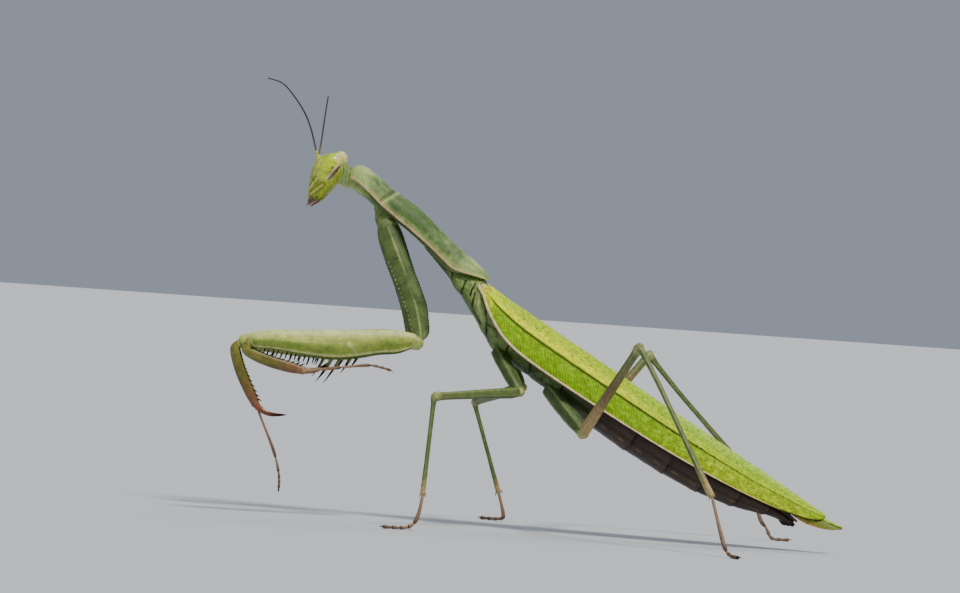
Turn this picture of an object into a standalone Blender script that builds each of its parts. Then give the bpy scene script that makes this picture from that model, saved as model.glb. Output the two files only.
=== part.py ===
"""Praying mantis (Mantis religiosa, adult female) as a still, life-size museum model.

Metres, +Z up, floor at z = 0. The head points to -X and the left side to -Y.
The trunk is drawn level in a frame of its own, whose origin is the wing root on the
midline, and an empty then pitches and rolls it into its stance. Legs are drawn in
the world, each from its root under the trunk through segments of a given length,
heading and slope. A heading is measured from straight ahead, turning outwards.
"""
import bpy
import bmesh
from math import cos, sin, pi, radians
from mathutils import Euler, Matrix, Vector

MM = 0.001
GAP = 0.12                      # between neighbouring pieces, mm

# ---- stance, mm and degrees ------------------------------------------------------------
CENTRE_SHIFT = (-0.677, 1.715)       # puts the box of the whole model over the origin
TRUNK_ORIGIN = (-5.8, 0.0, 27.25)
TRUNK_PITCH = 30.0
TRUNK_ROLL = 8.0
HEAD_ORIGIN = (-24.9, 0.0, 38.55)
HEAD_PITCH = 28.0
HEAD_ROLL = 6.0

# ---- trunk sections: along, height of the widest line, half width, top, bottom, and how
# far the section leans forward for each mm of height ------------------------------------
NECK = [(-20.75, 1.7, 0.9, 1.15, 1.15, 0.31), (-20.4, 1.75, 1.0, 1.25, 1.3, 0.38),
        (-20.02, 1.8, 0.95, 1.05, 1.25, 0.45)]
PRONOTUM = [(-19.85, 1.95, 1.15, 0.85, 1.15, 0.48), (-19.3, 2.15, 1.6, 1.3, 1.35, 0.45),
            (-18.5, 2.2, 1.95, 1.55, 1.45, 0.3), (-17.0, 2.0, 2.15, 1.62, 1.2, 0.15),
            (-15.2, 1.65, 2.4, 1.75, 1.1, 0.0), (-13.0, 1.3, 2.1, 2.05, 0.7, 0.0),
            (-10.4, 0.97, 1.75, 2.12, 0.6, 0.0), (-8.0, 0.6, 1.55, 1.98, 0.7, 0.0),
            (-5.8, 0.2, 1.6, 1.98, 0.95, 0.0), (-4.4, 0.0, 1.75, 1.95, 0.85, 0.0),
            (-3.0, 0.3, 1.72, 1.5, 0.35, 0.0), (-1.7, 0.7, 1.35, 0.92, 0.25, 0.0),
            (-0.55, 0.92, 0.6, 0.28, 0.12, 0.0)]
PTEROTHORAX = [(-4.1, -1.15, 0.75, 0.2, 0.25, 0.0), (-3.0, -1.2, 1.2, 1.02, 0.72, 0.0),
               (-1.8, -1.25, 1.6, 1.57, 1.05, 0.0), (-0.95, -1.45, 1.8, 2.06, 1.22, 0.0),
               (-0.42, -1.7, 1.85, 1.0, 1.25, 0.0), (2.1, -2.4, 2.15, 1.0, 1.85, 0.0),
               (4.7, -3.25, 2.3, 1.3, 2.15, 0.0), (8.0, -3.6, 2.5, 1.65, 1.9, 0.0),
               (11.0, -3.7, 2.6, 1.7, 1.9, 0.0), (13.4, -3.8, 2.65, 1.75, 1.7, 0.0)]
ABDOMEN = [(13.6, -3.85, 2.65, 1.7, 1.85, 0.0), (17.0, -3.9, 3.1, 1.9, 2.45, 0.0),
           (22.0, -3.9, 3.4, 2.15, 2.65, 0.0), (27.9, -3.8, 3.4, 2.05, 2.55, 0.0),
           (32.7, -3.5, 3.1, 1.7, 2.35, 0.0), (37.2, -3.0, 2.4, 1.25, 1.85, 0.0),
           (40.7, -2.6, 1.6, 0.75, 0.95, 0.0), (43.0, -2.55, 0.85, 0.35, 0.5, 0.0),
           (43.6, -2.55, 0.4, 0.15, 0.25, 0.0)]
ABDOMEN_SEGMENTS = 7
SEGMENT_SWELL = 0.025           # how far a segment swells between its seams, as a share
CERCUS = [(41.4, 1.5, -1.75), (42.8, 1.6, -1.8), (44.2, 1.5, -1.85)]
CERCUS_RADII = (0.27, 0.26, 0.25)

# ---- head, in its own frame: height, front, back, half width ----------------------------
HEAD_CAPSULE = [(-2.45, -1.05, 0.95, 0.8), (-1.4, -1.5, 1.15, 1.15), (-0.4, -1.85, 1.4, 1.6),
                (0.5, -2.05, 1.45, 1.95), (1.4, -1.95, 1.3, 2.0), (2.2, -1.45, 1.05, 1.8),
                (2.75, -0.85, 0.7, 1.3), (2.98, -0.35, 0.3, 0.7)]
MOUTHPARTS = [(-3.65, -0.3, 0.5, 0.3), (-3.3, -0.65, 0.72, 0.5), (-2.6, -1.0, 0.9, 0.72)]
EYE_AT, EYE_RADII, EYE_LEAN = (-0.3, 1.95, 1.22), (1.3, 1.35, 1.85), 12.0
PALP = [(0.05, 1.0, -2.85), (-0.1, 0.95, -3.3), (0.0, 0.85, -3.75)]
PALP_RADII = (0.25, 0.26, 0.25)
FEELER_ROOT = (-2.15, 0.0, 1.6)
FEELER_RADIUS = 0.26
FEELERS = {
    "antenna_left": [(0, -0.55, 0), (-2.1, -1.2, 2.3), (-3.9, -1.8, 3.75), (-6.3, -2.5, 4.95),
                     (-7.6, -2.9, 5.25), (-9.0, -3.4, 4.95)],
    "antenna_right": [(0, 0.55, 0), (-0.95, 2.5, 1.5), (-2.1, 4.9, 3.2), (-3.5, 7.7, 5.4)],
}

# ---- folded wings -----------------------------------------------------------------------
WING_THICKNESS = 0.5
ROOF_CURVE = 1.35               # above 1 the roof is flatter along its ridge
RIDGE = [(-0.4, 0.42), (10.0, 0.38), (25.0, 0.37), (38.0, 0.38), (46.2, 0.3), (49.0, 0.2)]
# along, half width at the radius vein, its depth, half width at the front margin, its depth
TEGMEN = [(-0.3, 1.3, 0.35, 1.7, 0.6), (2.0, 2.4, 0.85, 3.1, 2.0), (5.0, 3.0, 1.25, 3.8, 3.3),
          (9.0, 3.3, 1.4, 4.15, 3.8), (18.0, 3.4, 1.4, 4.3, 3.75), (28.0, 3.3, 1.3, 4.15, 3.4),
          (36.0, 2.7, 1.1, 3.5, 2.8), (41.5, 1.7, 0.75, 2.3, 2.0), (44.8, 0.7, 0.35, 1.0, 1.0),
          (46.2, 0.12, 0.1, 0.25, 0.3)]
TEGMEN_OVERLAP = 0.4            # how far the inner edge crosses the midline, share of the vein's width
TEGMEN_SPLIT = 0.65             # share of the way across at which the radius vein lies
TEGMEN_SHARES = (0, 0.13, 0.26, 0.45, 0.65, 0.77, 0.89, 1.0)
RIGHT_TEGMEN_REACH = 1.05       # the lower tegmen's tip lies a little further back
# along, how far the right tegmen's inner part is tucked under the left
TUCK = [(0.0, 0.7), (39.0, 0.7), (43.0, 0.9), (46.8, 0.9), (47.9, 0.1), (49.0, 0.0)]
# along, half width, depth of the upper side below the ridge
HINDWING = [(3.0, 1.2, 1.4), (6.0, 2.0, 1.4), (10.0, 2.2, 1.4), (17.0, 2.2, 1.4), (25.0, 2.2, 1.4),
            (33.0, 2.15, 1.4), (38.0, 1.5, 1.5), (42.0, 0.95, 1.7), (45.0, 0.8, 1.8), (47.9, 0.15, 1.2)]

# ---- legs: root on the trunk, then (length, heading, slope) of each segment; the walking
# legs' feet are (distance over the ground, heading, height of the end) ------------------
LEGS = {
    "fore_left": dict(root=(-14.3, -1.35, 0.45), coxa=(15.0, 154.1, -66.6), femur=(19.3, 16.6, -4.0)),
    "fore_right": dict(root=(-14.3, 1.35, 0.45), coxa=(14.8, 144.3, -71.6), femur=(20.3, 1.7, -5.5)),
    "mid_left": dict(root=(5.2, -1.75, -5.1), coxa=(6.1, 133.5, -44.0), femur=(13.45, 50.2, -4.1),
                     tibia=(11.05, 56.2, -85.6), foot=[(0.56, 45, 1.38), (1.1, 22, 0.3), (2.75, 21, 0.2)]),
    "mid_right": dict(root=(5.2, 1.75, -5.1), coxa=(5.3, 138.7, -53.9), femur=(14.25, 62.8, -9.4),
                      tibia=(11.5, 138.2, -66.9), foot=[(0.75, 156, 0.8), (1.0, 60, 0.3), (2.7, 30, 0.2)]),
    "hind_left": dict(root=(12.5, -1.8, -5.35), coxa=(6.85, 145.5, -40.4), femur=(18.05, 115.3, 34.2),
                      tibia=(18.9, 151.7, -56.1), foot=[(2.2, 137, 1.4), (1.3, 128, 0.3), (2.2, 115, 0.2)]),
    "hind_right": dict(root=(12.5, 1.8, -5.35), coxa=(6.3, 149.9, -51.2), femur=(16.05, 119.2, 34.8),
                       tibia=(19.2, 160.6, -45.2),
                       foot=[(1.5, 138, 2.84), (1.03, 151, 1.48), (0.9, 150, 0.3), (2.2, 150, 0.2)]),
}
# segment sections: share of the length, half width across, half depth, lift of the centre
FORE_COXA = [(0.0, 0.7, 1.05, 0.0), (0.17, 0.8, 1.2, 0.0), (0.4, 0.82, 1.3, -0.2),
             (0.6, 0.8, 1.32, -0.47), (0.78, 0.75, 1.28, -0.6), (1.0, 0.62, 0.95, -0.15)]
FORE_FEMUR = [(0.0, 0.62, 0.9, -0.05), (0.14, 0.72, 1.33, -0.2), (0.25, 0.82, 1.43, -0.24),
              (0.36, 0.85, 1.6, -0.42), (0.5, 0.85, 1.7, -0.52), (0.65, 0.8, 1.52, -0.35),
              (0.85, 0.72, 1.2, 0.05), (1.0, 0.6, 0.9, 0.12)]
MID_COXA = [(0.0, 0.75, 0.75, 0.0), (0.3, 0.8, 0.82, 0.0), (0.65, 0.75, 0.8, 0.0), (1.0, 0.52, 0.55, 0.0)]
MID_FEMUR = [(0.0, 0.5, 0.55, 0.0), (0.12, 0.48, 0.62, -0.05), (0.45, 0.42, 0.52, 0.0),
             (0.85, 0.38, 0.44, 0.0), (1.0, 0.42, 0.48, 0.0)]
MID_TIBIA = [(0.0, 0.36, 0.42, 0.0), (0.14, 0.28, 0.3, 0.0), (0.6, 0.26, 0.28, 0.0), (1.0, 0.3, 0.32, 0.0)]
HIND_COXA = [(0.0, 0.85, 1.0, 0.0), (0.42, 0.85, 1.05, 0.0), (0.65, 0.8, 1.05, 0.0), (1.0, 0.6, 0.7, 0.0)]
HIND_FEMUR = [(0.0, 0.55, 0.62, 0.0), (0.1, 0.55, 0.66, 0.0), (0.45, 0.48, 0.56, 0.0),
              (0.88, 0.4, 0.45, 0.0), (1.0, 0.42, 0.48, 0.0)]
HIND_TIBIA = [(0.0, 0.42, 0.48, 0.0), (0.08, 0.32, 0.34, 0.15), (0.3, 0.28, 0.3, 0.25),
              (0.6, 0.28, 0.32, 0.12), (0.88, 0.34, 0.42, 0.0), (1.0, 0.34, 0.38, 0.0)]
TARSUS_RADIUS = 0.26
TIP_SHARE = 0.6                 # a free end narrows to this share, and reaches as far out

# the folded (left) and the hanging (right) fore tibia with its end claw, step by step
FORE_TIBIA_STEPS = {
    "left": [(1.1, 0.0, -84.0), (2.85, -163.0, -22.0), (3.9, -161.8, -11.5),
             (1.1, 198.0, 4.0), (1.1, 210.0, 20.0), (1.3, 215.0, 38.0)],
    "right": [(0.9, 0.0, -67.0), (2.6, 173.0, -71.0), (4.1, 177.0, -62.0),
              (1.0, 180.0, -38.0), (1.2, 180.0, -18.0), (1.7, 180.0, 2.0)],
}
FORE_TIBIA_SIZES = [(0.5, 0.6), (0.48, 0.58), (0.5, 0.62), (0.42, 0.56), (0.28, 0.42),
                    (0.18, 0.26), (0.07, 0.08)]
FORE_TARSUS_STEPS = {
    "left": [(1.9, -170.0, 9.0), (4.6, -168.0, 8.8), (1.5, -168.0, -3.0), (1.3, -166.0, -12.0)],
    "right": [(4.4, 163.0, -64.5), (2.4, 160.0, -71.5), (1.3, 146.0, -79.0), (0.9, 100.0, -87.0)],
}

FORE_TARSUS_OFF = 1.05          # it springs just clear of the claw's foot
FORE_TARSUS_ASIDE = {"left": (-0.4, -0.62, -0.1), "right": (0, 0, 0)}

# ---- spines: share along the femur, length -------------------------------------------------
DISCOIDAL = [(0.515, 3.1), (0.465, 3.3), (0.4, 2.0), (0.36, 1.4)]
OUTER_FEMUR_SPINES = [(0.6, 0.95), (0.7, 1.0), (0.8, 0.95), (0.88, 0.8)]
INNER_FEMUR_SPINES = 12
TIBIA_SPINES = 11
SPINE_RADIUS = 0.26
SPINE_TIP = 0.035
SPINE_ROOT = 0.35               # how deep a spine's foot sits inside its limb
COMB_SIDE = 0.42                # the rows of small spines stand this far off the middle line

GREEN, DARK_GREEN, LEAF_GREEN, OLIVE = "#8FA35A", "#5F7A48", "#A9C84B", "#6B6438"
YELLOW_GREEN, TAN, BROWN, DARK = "#C3CC4A", "#A8895C", "#4A3A24", "#2A221C"

model = bpy.data.collections.new("praying_mantis")
cutters = bpy.data.collections.new("cutters")


# ---- helpers -----------------------------------------------------------------------------
def mm(*xyz):
    """A point given in millimetres."""
    return Vector(xyz) * MM


def start_scene():
    """An empty scene with the two collections."""
    for obj in list(bpy.data.objects):
        bpy.data.objects.remove(obj, do_unlink=True)
    for collection in (model, cutters):
        bpy.context.scene.collection.children.link(collection)


def linear(hex_colour):
    """sRGB hex to a linear RGBA tuple."""
    channels = [int(hex_colour[i:i + 2], 16) / 255 for i in (1, 3, 5)]
    return tuple(c / 12.92 if c <= 0.04045 else ((c + 0.055) / 1.055) ** 2.4 for c in channels) + (1.0,)


def paint(obj, hex_colour, roughness=0.45):
    """One Principled material for the object."""
    material = bpy.data.materials.new(obj.name + "_cuticle")
    material.use_nodes = True
    shader = material.node_tree.nodes["Principled BSDF"]
    shader.inputs["Base Color"].default_value = linear(hex_colour)
    shader.inputs["Roughness"].default_value = roughness
    obj.data.materials.append(material)


def empty(name, parent=None, matrix=Matrix.Identity(4)):
    """A frame that pieces are parented to."""
    frame = bpy.data.objects.new(name, None)
    frame.matrix_local = matrix
    frame.parent = parent
    model.objects.link(frame)
    return frame


def to_object(name, mesh, parent, colour, collection=model):
    """An object of a mesh, smooth shaded and painted."""
    obj = bpy.data.objects.new(name, mesh)
    obj.parent = parent
    collection.objects.link(obj)
    mesh.shade_smooth()
    mesh.set_sharp_from_angle(angle=radians(50))
    if collection is cutters:
        obj.hide_render = True
        obj.display_type = "WIRE"
    else:
        paint(obj, colour)
    return obj


def skin_rings(name, rings, at=Vector()):
    """A closed mesh through rings of points, capped flat at both ends."""
    bm = bmesh.new()
    loops = [[bm.verts.new(point - at) for point in ring] for ring in rings]
    sides = len(rings[0])
    for low, high in zip(loops, loops[1:]):
        for k in range(sides):
            bm.faces.new((low[k], low[(k + 1) % sides], high[(k + 1) % sides], high[k]))
    bm.faces.new(loops[0])
    bm.faces.new(loops[-1])
    bmesh.ops.recalc_face_normals(bm, faces=bm.faces)
    mesh = bpy.data.meshes.new(name)
    bm.to_mesh(mesh)
    bm.free()
    return mesh


def catmull_rom(p, q, r, s, t):
    """The value at t from q, 0, to r, 1."""
    bend = (2 * p - 5 * q + 4 * r - s) * t ** 2 + (3 * q - p - 3 * r + s) * t ** 3
    return 0.5 * (2 * q + (r - p) * t + bend)


def smooth_rows(rows, per_span):
    """Rows of numbers made denser by a Catmull-Rom curve through them."""
    padded = [rows[0], *rows, rows[-1]]
    dense = []
    for span in zip(padded, padded[1:], padded[2:], padded[3:]):
        for step in range(per_span):
            t = step / per_span
            dense.append(tuple(catmull_rom(*values, t) for values in zip(*span)))
    return dense + [rows[-1]]


def read_rows(rows, along):
    """The row at a place along, linear between neighbours."""
    for low, high in zip(rows, rows[1:]):
        if along <= high[0]:
            break
    t = min(max((along - low[0]) / (high[0] - low[0]), 0.0), 1.0)
    return [a + (b - a) * t for a, b in zip(low, high)]


def trunk_ring(along, height, half_width, top, bottom, lean, sides):
    """One oval section of the trunk, with its own depth above and below the widest line."""
    ring = []
    for k in range(sides):
        turn = 2 * pi * k / sides
        rise = (top if sin(turn) > 0 else bottom) * sin(turn)
        ring.append(mm(along - lean * rise, half_width * cos(turn), height + rise))
    return ring


def smoothstep(low, high, value):
    """0 below low, 1 above high, and smooth between."""
    t = min(max((value - low) / (high - low), 0.0), 1.0)
    return t * t * (3 - 2 * t)


# ---- trunk ---------------------------------------------------------------------------------
def build_trunk_piece(name, rows, per_span, sides, colour, parent, segments=0):
    """A lofted piece of the trunk; its segments, if any, swell between their seams."""
    rings = []
    for along, height, half_width, top, bottom, lean in smooth_rows(rows, per_span):
        swell = 1.0
        if segments:
            place = segments * (along - rows[0][0]) / (rows[-1][0] - rows[0][0])
            swell += SEGMENT_SWELL * abs(sin(pi * place))
        rings.append(trunk_ring(along, height, half_width * swell, top, bottom * swell, lean, sides))
    return to_object(name, skin_rings(name, rings), parent, colour)


def build_cerci(trunk):
    """The two short feelers at the abdomen's tip."""
    for side, name in ((-1, "cercus_left"), (1, "cercus_right")):
        tube(name, [mm(x, side * y, z) for x, y, z in CERCUS], CERCUS_RADII, trunk, OLIVE)


def tube(name, path, radii, parent, colour, resolution=1):
    """A round tapering feeler: a poly spline with a bevel, its caps welded."""
    curve = bpy.data.curves.new(name, "CURVE")
    curve.dimensions = "3D"
    curve.bevel_depth = MM
    curve.bevel_resolution = resolution
    curve.use_fill_caps = True
    spline = curve.splines.new("POLY")
    spline.points.add(len(path) - 1)
    for point, place, radius in zip(spline.points, path, radii):
        point.co = (*place, 1.0)
        point.radius = radius
    wire = bpy.data.objects.new(name + "_wire", curve)
    bpy.context.scene.collection.objects.link(wire)
    graph = bpy.context.evaluated_depsgraph_get()
    mesh = bpy.data.meshes.new_from_object(wire.evaluated_get(graph))
    bpy.data.objects.remove(wire, do_unlink=True)
    bm = bmesh.new()
    bm.from_mesh(mesh)
    bmesh.ops.remove_doubles(bm, verts=bm.verts, dist=0.00001)
    bmesh.ops.recalc_face_normals(bm, faces=bm.faces)
    bm.to_mesh(mesh)
    bm.free()
    return to_object(name, mesh, parent, colour)


def smooth_path(points, per_span):
    """A Catmull-Rom curve through a few points."""
    return [Vector(row) for row in smooth_rows([tuple(p) for p in points], per_span)]


# ---- head ----------------------------------------------------------------------------------
def head_ring(height, front, back, half_width, sides):
    """One level section of the head, broad in front."""
    ring = []
    for k in range(sides):
        turn = 2 * pi * k / sides
        reach = back if cos(turn) > 0 else -front
        ring.append(mm(reach * cos(turn), half_width * sin(turn), height))
    return ring


def ellipsoid(name, at, radii, lean, parent, colour, collection=model):
    """A sphere primitive stretched to an eye, leaning outwards at the top."""
    bm = bmesh.new()
    bmesh.ops.create_uvsphere(bm, u_segments=16, v_segments=10, radius=1.0)
    bmesh.ops.scale(bm, vec=Vector(radii) * MM, verts=bm.verts)
    mesh = bpy.data.meshes.new(name)
    bm.to_mesh(mesh)
    bm.free()
    obj = to_object(name, mesh, parent, colour, collection)
    obj.location = mm(*at)
    obj.rotation_euler = (radians(lean), 0, 0)
    return obj


def boolean(obj, tool, operation):
    """Cut or join with the EXACT solver."""
    modifier = obj.modifiers.new(tool.name, "BOOLEAN")
    modifier.object = tool
    modifier.operation = operation
    modifier.solver = "EXACT"


def build_head(head_frame):
    """Capsule with eye sockets, eyes, mouthparts and palps."""
    rings = [head_ring(*row, 16) for row in smooth_rows(HEAD_CAPSULE, 2)]
    head = to_object("head", skin_rings("head", rings), head_frame, YELLOW_GREEN)
    mouth = [head_ring(*row, 10) for row in MOUTHPARTS]
    to_object("mouthparts", skin_rings("mouthparts", mouth), head_frame, GREEN)
    for side, word in ((-1, "left"), (1, "right")):
        at = (EYE_AT[0], side * EYE_AT[1], EYE_AT[2])
        ellipsoid("eye_" + word, at, EYE_RADII, -side * EYE_LEAN, head_frame, YELLOW_GREEN)
        wider = [radius + GAP for radius in EYE_RADII]
        socket = ellipsoid("socket_" + word, at, wider, -side * EYE_LEAN, head_frame, GREEN, cutters)
        boolean(head, socket, "DIFFERENCE")
        palp = [mm(x, side * y, z) for x, y, z in PALP]
        tube("palp_" + word, palp, PALP_RADII, head_frame, TAN)


def build_antennae(head_frame):
    """The near feeler sweeps forward in a curve, the far one stands up and outwards."""
    for name, points in FEELERS.items():
        path = smooth_path([mm(*FEELER_ROOT) + mm(*point) for point in points], 3)
        tube(name, path, [FEELER_RADIUS] * len(path), head_frame, BROWN)


# ---- wings ---------------------------------------------------------------------------------
def roof_drop(lateral, radius_width, radius_drop):
    """How far a folded wing's upper side lies below the ridge, up to the radius vein."""
    return radius_drop * (min(abs(lateral) / radius_width, 1.0)) ** ROOF_CURVE


def tegmen_point(row, share, side, stretch):
    """A point of a folded forewing; share runs from the inner edge, 0, to the front margin, 1."""
    along, radius_width, radius_drop, margin_width, margin_drop = row
    inner = -TEGMEN_OVERLAP * radius_width
    ridge = read_rows(RIDGE, along)[1]
    if share <= TEGMEN_SPLIT:
        lateral = inner + (radius_width - inner) * share / TEGMEN_SPLIT
        height = ridge - roof_drop(lateral, radius_width, radius_drop)
    else:
        t = (share - TEGMEN_SPLIT) / (1 - TEGMEN_SPLIT)
        lateral = radius_width + (margin_width - radius_width) * sin(t * pi / 2)
        height = ridge - radius_drop - (margin_drop - radius_drop) * t
    if side > 0:
        reach = max(radius_width, 2.0)
        height -= read_rows(TUCK, along * stretch)[1] * (1 - smoothstep(0.5 * reach, reach, lateral))
    return mm(along * stretch, side * lateral, height)


def sheet(name, rows, parent, colour, outward):
    """A sheet through a grid of points, thickened downwards."""
    bm = bmesh.new()
    grid = [[bm.verts.new(point) for point in row] for row in rows]
    for low, high in zip(grid, grid[1:]):
        for k in range(len(low) - 1):
            face = (low[k], low[k + 1], high[k + 1], high[k])
            bm.faces.new(face if outward else face[::-1])
    mesh = bpy.data.meshes.new(name)
    bm.to_mesh(mesh)
    bm.free()
    obj = to_object(name, mesh, parent, colour)
    modifier = obj.modifiers.new("thickness", "SOLIDIFY")
    modifier.thickness = WING_THICKNESS * MM
    modifier.offset = -1
    return obj


def build_wings(trunk):
    """Left forewing over right forewing over the two folded hindwings."""
    rows = smooth_rows(TEGMEN, 2)
    for side, word, stretch in ((-1, "left", 1.0), (1, "right", RIGHT_TEGMEN_REACH)):
        grid = [[tegmen_point(row, share, side, stretch) for share in TEGMEN_SHARES] for row in rows]
        sheet("tegmen_" + word, grid, trunk, LEAF_GREEN, outward=side > 0)
    for side, word in ((-1, "left"), (1, "right")):
        grid = []
        for along, half_width, depth in smooth_rows(HINDWING, 2):
            _, radius_width, radius_drop, _, _ = read_rows(TEGMEN, min(along, TEGMEN[-1][0]))
            reach = max(radius_width, 1.0)
            ridge = read_rows(RIDGE, along)[1] - depth
            inner = 0.5 * GAP
            spots = [inner + (half_width - inner) * k / 3 for k in range(4)]
            grid.append([mm(along, side * y, ridge - roof_drop(y, reach, radius_drop)) for y in spots])
        sheet("hindwing_" + word, grid, trunk, YELLOW_GREEN, outward=side > 0)


# ---- legs ----------------------------------------------------------------------------------
def direction(heading, slope, side):
    """A unit vector from a heading off straight ahead, turning outwards, and a slope."""
    h, s = radians(heading), radians(slope)
    return Vector((-cos(h) * cos(s), side * sin(h) * cos(s), sin(s)))


def outward_axis(tangent, across):
    """The limb's dorsal side: square to its run and to the way across it."""
    return across.cross(tangent).normalized()


def limb_rings(path, sizes, across, sides, start_cut, end_cut):
    """Oval rings along a path, mitred at its bends and cut at its ends on the given planes."""
    rings = []
    for i, (centre, (half_width, half_depth)) in enumerate(zip(path, sizes)):
        run = (path[i] - path[i - 1]) if i else (path[1] - path[0])
        run.normalize()
        following = (path[i + 1] - path[i]).normalized() if i + 1 < len(path) else run
        normal, through = (run + following).normalized(), centre
        if i == 0 and start_cut:
            normal, through = start_cut
        if i + 1 == len(path) and end_cut:
            normal, through = end_cut
        dorsal = outward_axis(run, across)
        lateral = run.cross(dorsal).normalized()
        ring = []
        for k in range(sides):
            turn = 2 * pi * (k + 0.5) / sides
            across_part = lateral * (half_width * MM * cos(turn))
            point = centre + across_part + dorsal * (half_depth * MM * sin(turn))
            ring.append(point + run * ((through - point).dot(normal) / run.dot(normal)))
        rings.append(ring)
    return rings


def dome(path, sizes, at_end):
    """Rounds a free end: one narrower ring a little further out."""
    i, j = (-1, -2) if at_end else (0, 1)
    width, depth = sizes[i]
    tip = path[i] + (path[i] - path[j]).normalized() * (TIP_SHARE * min(width, depth) * MM)
    row = (width * TIP_SHARE, depth * TIP_SHARE)
    if at_end:
        return [*path, tip], [*sizes, row]
    return [tip, *path], [row, *sizes]


def limb(name, path, sizes, across, parent, colour, sides, start_cut=None, end_cut=None, on_floor=False):
    """One piece of a leg; soles are flattened on the floor."""
    if end_cut is None:
        path, sizes = dome(path, sizes, True)
    if start_cut is None:
        path, sizes = dome(path, sizes, False)
    rings = limb_rings(path, sizes, across, sides, start_cut, end_cut)
    if on_floor:
        rings = [[Vector((p.x, p.y, max(p.z, 0.0))) for p in ring] for ring in rings]
    obj = to_object(name, skin_rings(name, rings, at=path[0]), parent, colour)
    obj.location = path[0]
    return obj


def straight(start, end, rows, across):
    """Path and sizes of a segment from its section rows."""
    dorsal = outward_axis((end - start).normalized(), across)
    path = [start.lerp(end, share) + dorsal * (lift * MM) for share, _, _, lift in rows]
    return path, [(width, depth) for _, width, depth, _ in rows]


def steps(start, moves, side):
    """Path from a start through (length, heading, slope) moves."""
    path = [start]
    for length, heading, slope in moves:
        path.append(path[-1] + direction(heading, slope, side) * (length * MM))
    return path


def joint_cut(before, joint, after, sign):
    """The plane that parts two segments at a joint, set back by half the gap."""
    normal = ((joint - before).normalized() + (after - joint).normalized()).normalized()
    return normal, joint + normal * (sign * 0.5 * GAP * MM)


def spines(name, feet, parent):
    """Thorns as one hidden mesh, to be joined to the limb they grow from."""
    bm = bmesh.new()
    for foot, way, length, radius in feet:
        turn = way.to_track_quat("Z", "Y").to_matrix().to_4x4()
        place = Matrix.Translation(foot + way * (length * MM / 2)) @ turn
        bmesh.ops.create_cone(bm, cap_ends=True, segments=5, radius1=radius * MM,
                              radius2=SPINE_TIP * MM, depth=length * MM, matrix=place)
    mesh = bpy.data.meshes.new(name)
    bm.to_mesh(mesh)
    bm.free()
    return to_object(name, mesh, parent, DARK, cutters)


def femur_spines(start, end, across, side):
    """Long discoidal spines, four outer spines and the inner comb of the fore femur."""
    run = (end - start).normalized()
    ventral = -outward_axis(run, across)
    outer = across * side
    feet = []

    def add(share, length, sideways, lean, radius):
        _, _, depth, lift = read_rows(FORE_FEMUR, share)
        foot = start.lerp(end, share) + ventral * ((depth - lift - SPINE_ROOT) * MM) + outer * (sideways * MM)
        way = (ventral * cos(radians(lean)) + run * sin(radians(lean))).normalized()
        feet.append((foot, way, length + SPINE_ROOT, radius))

    for share, length in DISCOIDAL:
        add(share, length, 0.0, 35, SPINE_RADIUS)
    for share, length in OUTER_FEMUR_SPINES:
        add(share, length, COMB_SIDE, 20, 0.6 * SPINE_RADIUS)
    for k in range(INNER_FEMUR_SPINES):
        length = 0.9 if k % 2 else 0.55
        add(0.57 + 0.34 * k / (INNER_FEMUR_SPINES - 1), length, -COMB_SIDE, 15, 0.4 * SPINE_RADIUS)
    return feet


def tibia_spines(path, across):
    """The slanting comb along the inner side of the fore tibia, longer towards its end."""
    feet = []
    for k in range(TIBIA_SPINES):
        share = 0.3 + 1.62 * k / (TIBIA_SPINES - 1)
        i = 1 if share < 1 else 2
        low, high = path[i], path[i + 1]
        run = (high - low).normalized()
        ventral = -outward_axis(run, across)
        foot = low.lerp(high, share % 1) + ventral * (0.3 * MM)
        way = (ventral + run * 0.9).normalized()
        feet.append((foot, way, 0.65 + 0.45 * k / TIBIA_SPINES, 0.4 * SPINE_RADIUS))
    return feet


def build_fore_leg(word, side, trunk_to_world, parent):
    """Coxa, toothed femur, spined tibia with its claw, and tarsus."""
    leg = LEGS["fore_" + word]
    across = Vector((0, 1, 0))
    root = trunk_to_world @ mm(*leg["root"])
    belly = (trunk_to_world.to_3x3() @ Vector((0, side * 0.3, -0.95))).normalized()
    hip = steps(root, [leg["coxa"]], side)[-1]
    knee = steps(hip, [leg["femur"]], side)[-1]
    shin = steps(knee, FORE_TIBIA_STEPS[word], side)
    path, sizes = straight(root, hip, FORE_COXA, across)
    limb("fore_coxa_" + word, path, sizes, across, parent, DARK_GREEN, 10,
         (belly, root), joint_cut(root, hip, knee, -1))
    path, sizes = straight(hip, knee, FORE_FEMUR, across)
    femur = limb("fore_femur_" + word, path, sizes, across, parent, GREEN, 10,
                 joint_cut(root, hip, knee, 1), joint_cut(hip, knee, shin[1], -1))
    boolean(femur, spines("femur_spines_" + word, femur_spines(hip, knee, across, side), parent), "UNION")
    tibia = limb("fore_tibia_" + word, shin, FORE_TIBIA_SIZES, across, parent, GREEN, 8,
                 joint_cut(hip, knee, shin[1], 1), None)
    boolean(tibia, spines("tibia_spines_" + word, tibia_spines(shin, across), parent), "UNION")
    moves = FORE_TARSUS_STEPS[word]
    start = shin[3] + direction(*moves[0][1:], side) * (FORE_TARSUS_OFF * MM)
    start += mm(*FORE_TARSUS_ASIDE[word])
    foot = steps(start, moves, side)
    sizes = [(TARSUS_RADIUS, TARSUS_RADIUS)] * len(foot)
    limb("fore_tarsus_" + word, foot, sizes, across, parent, TAN, 6)


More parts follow.
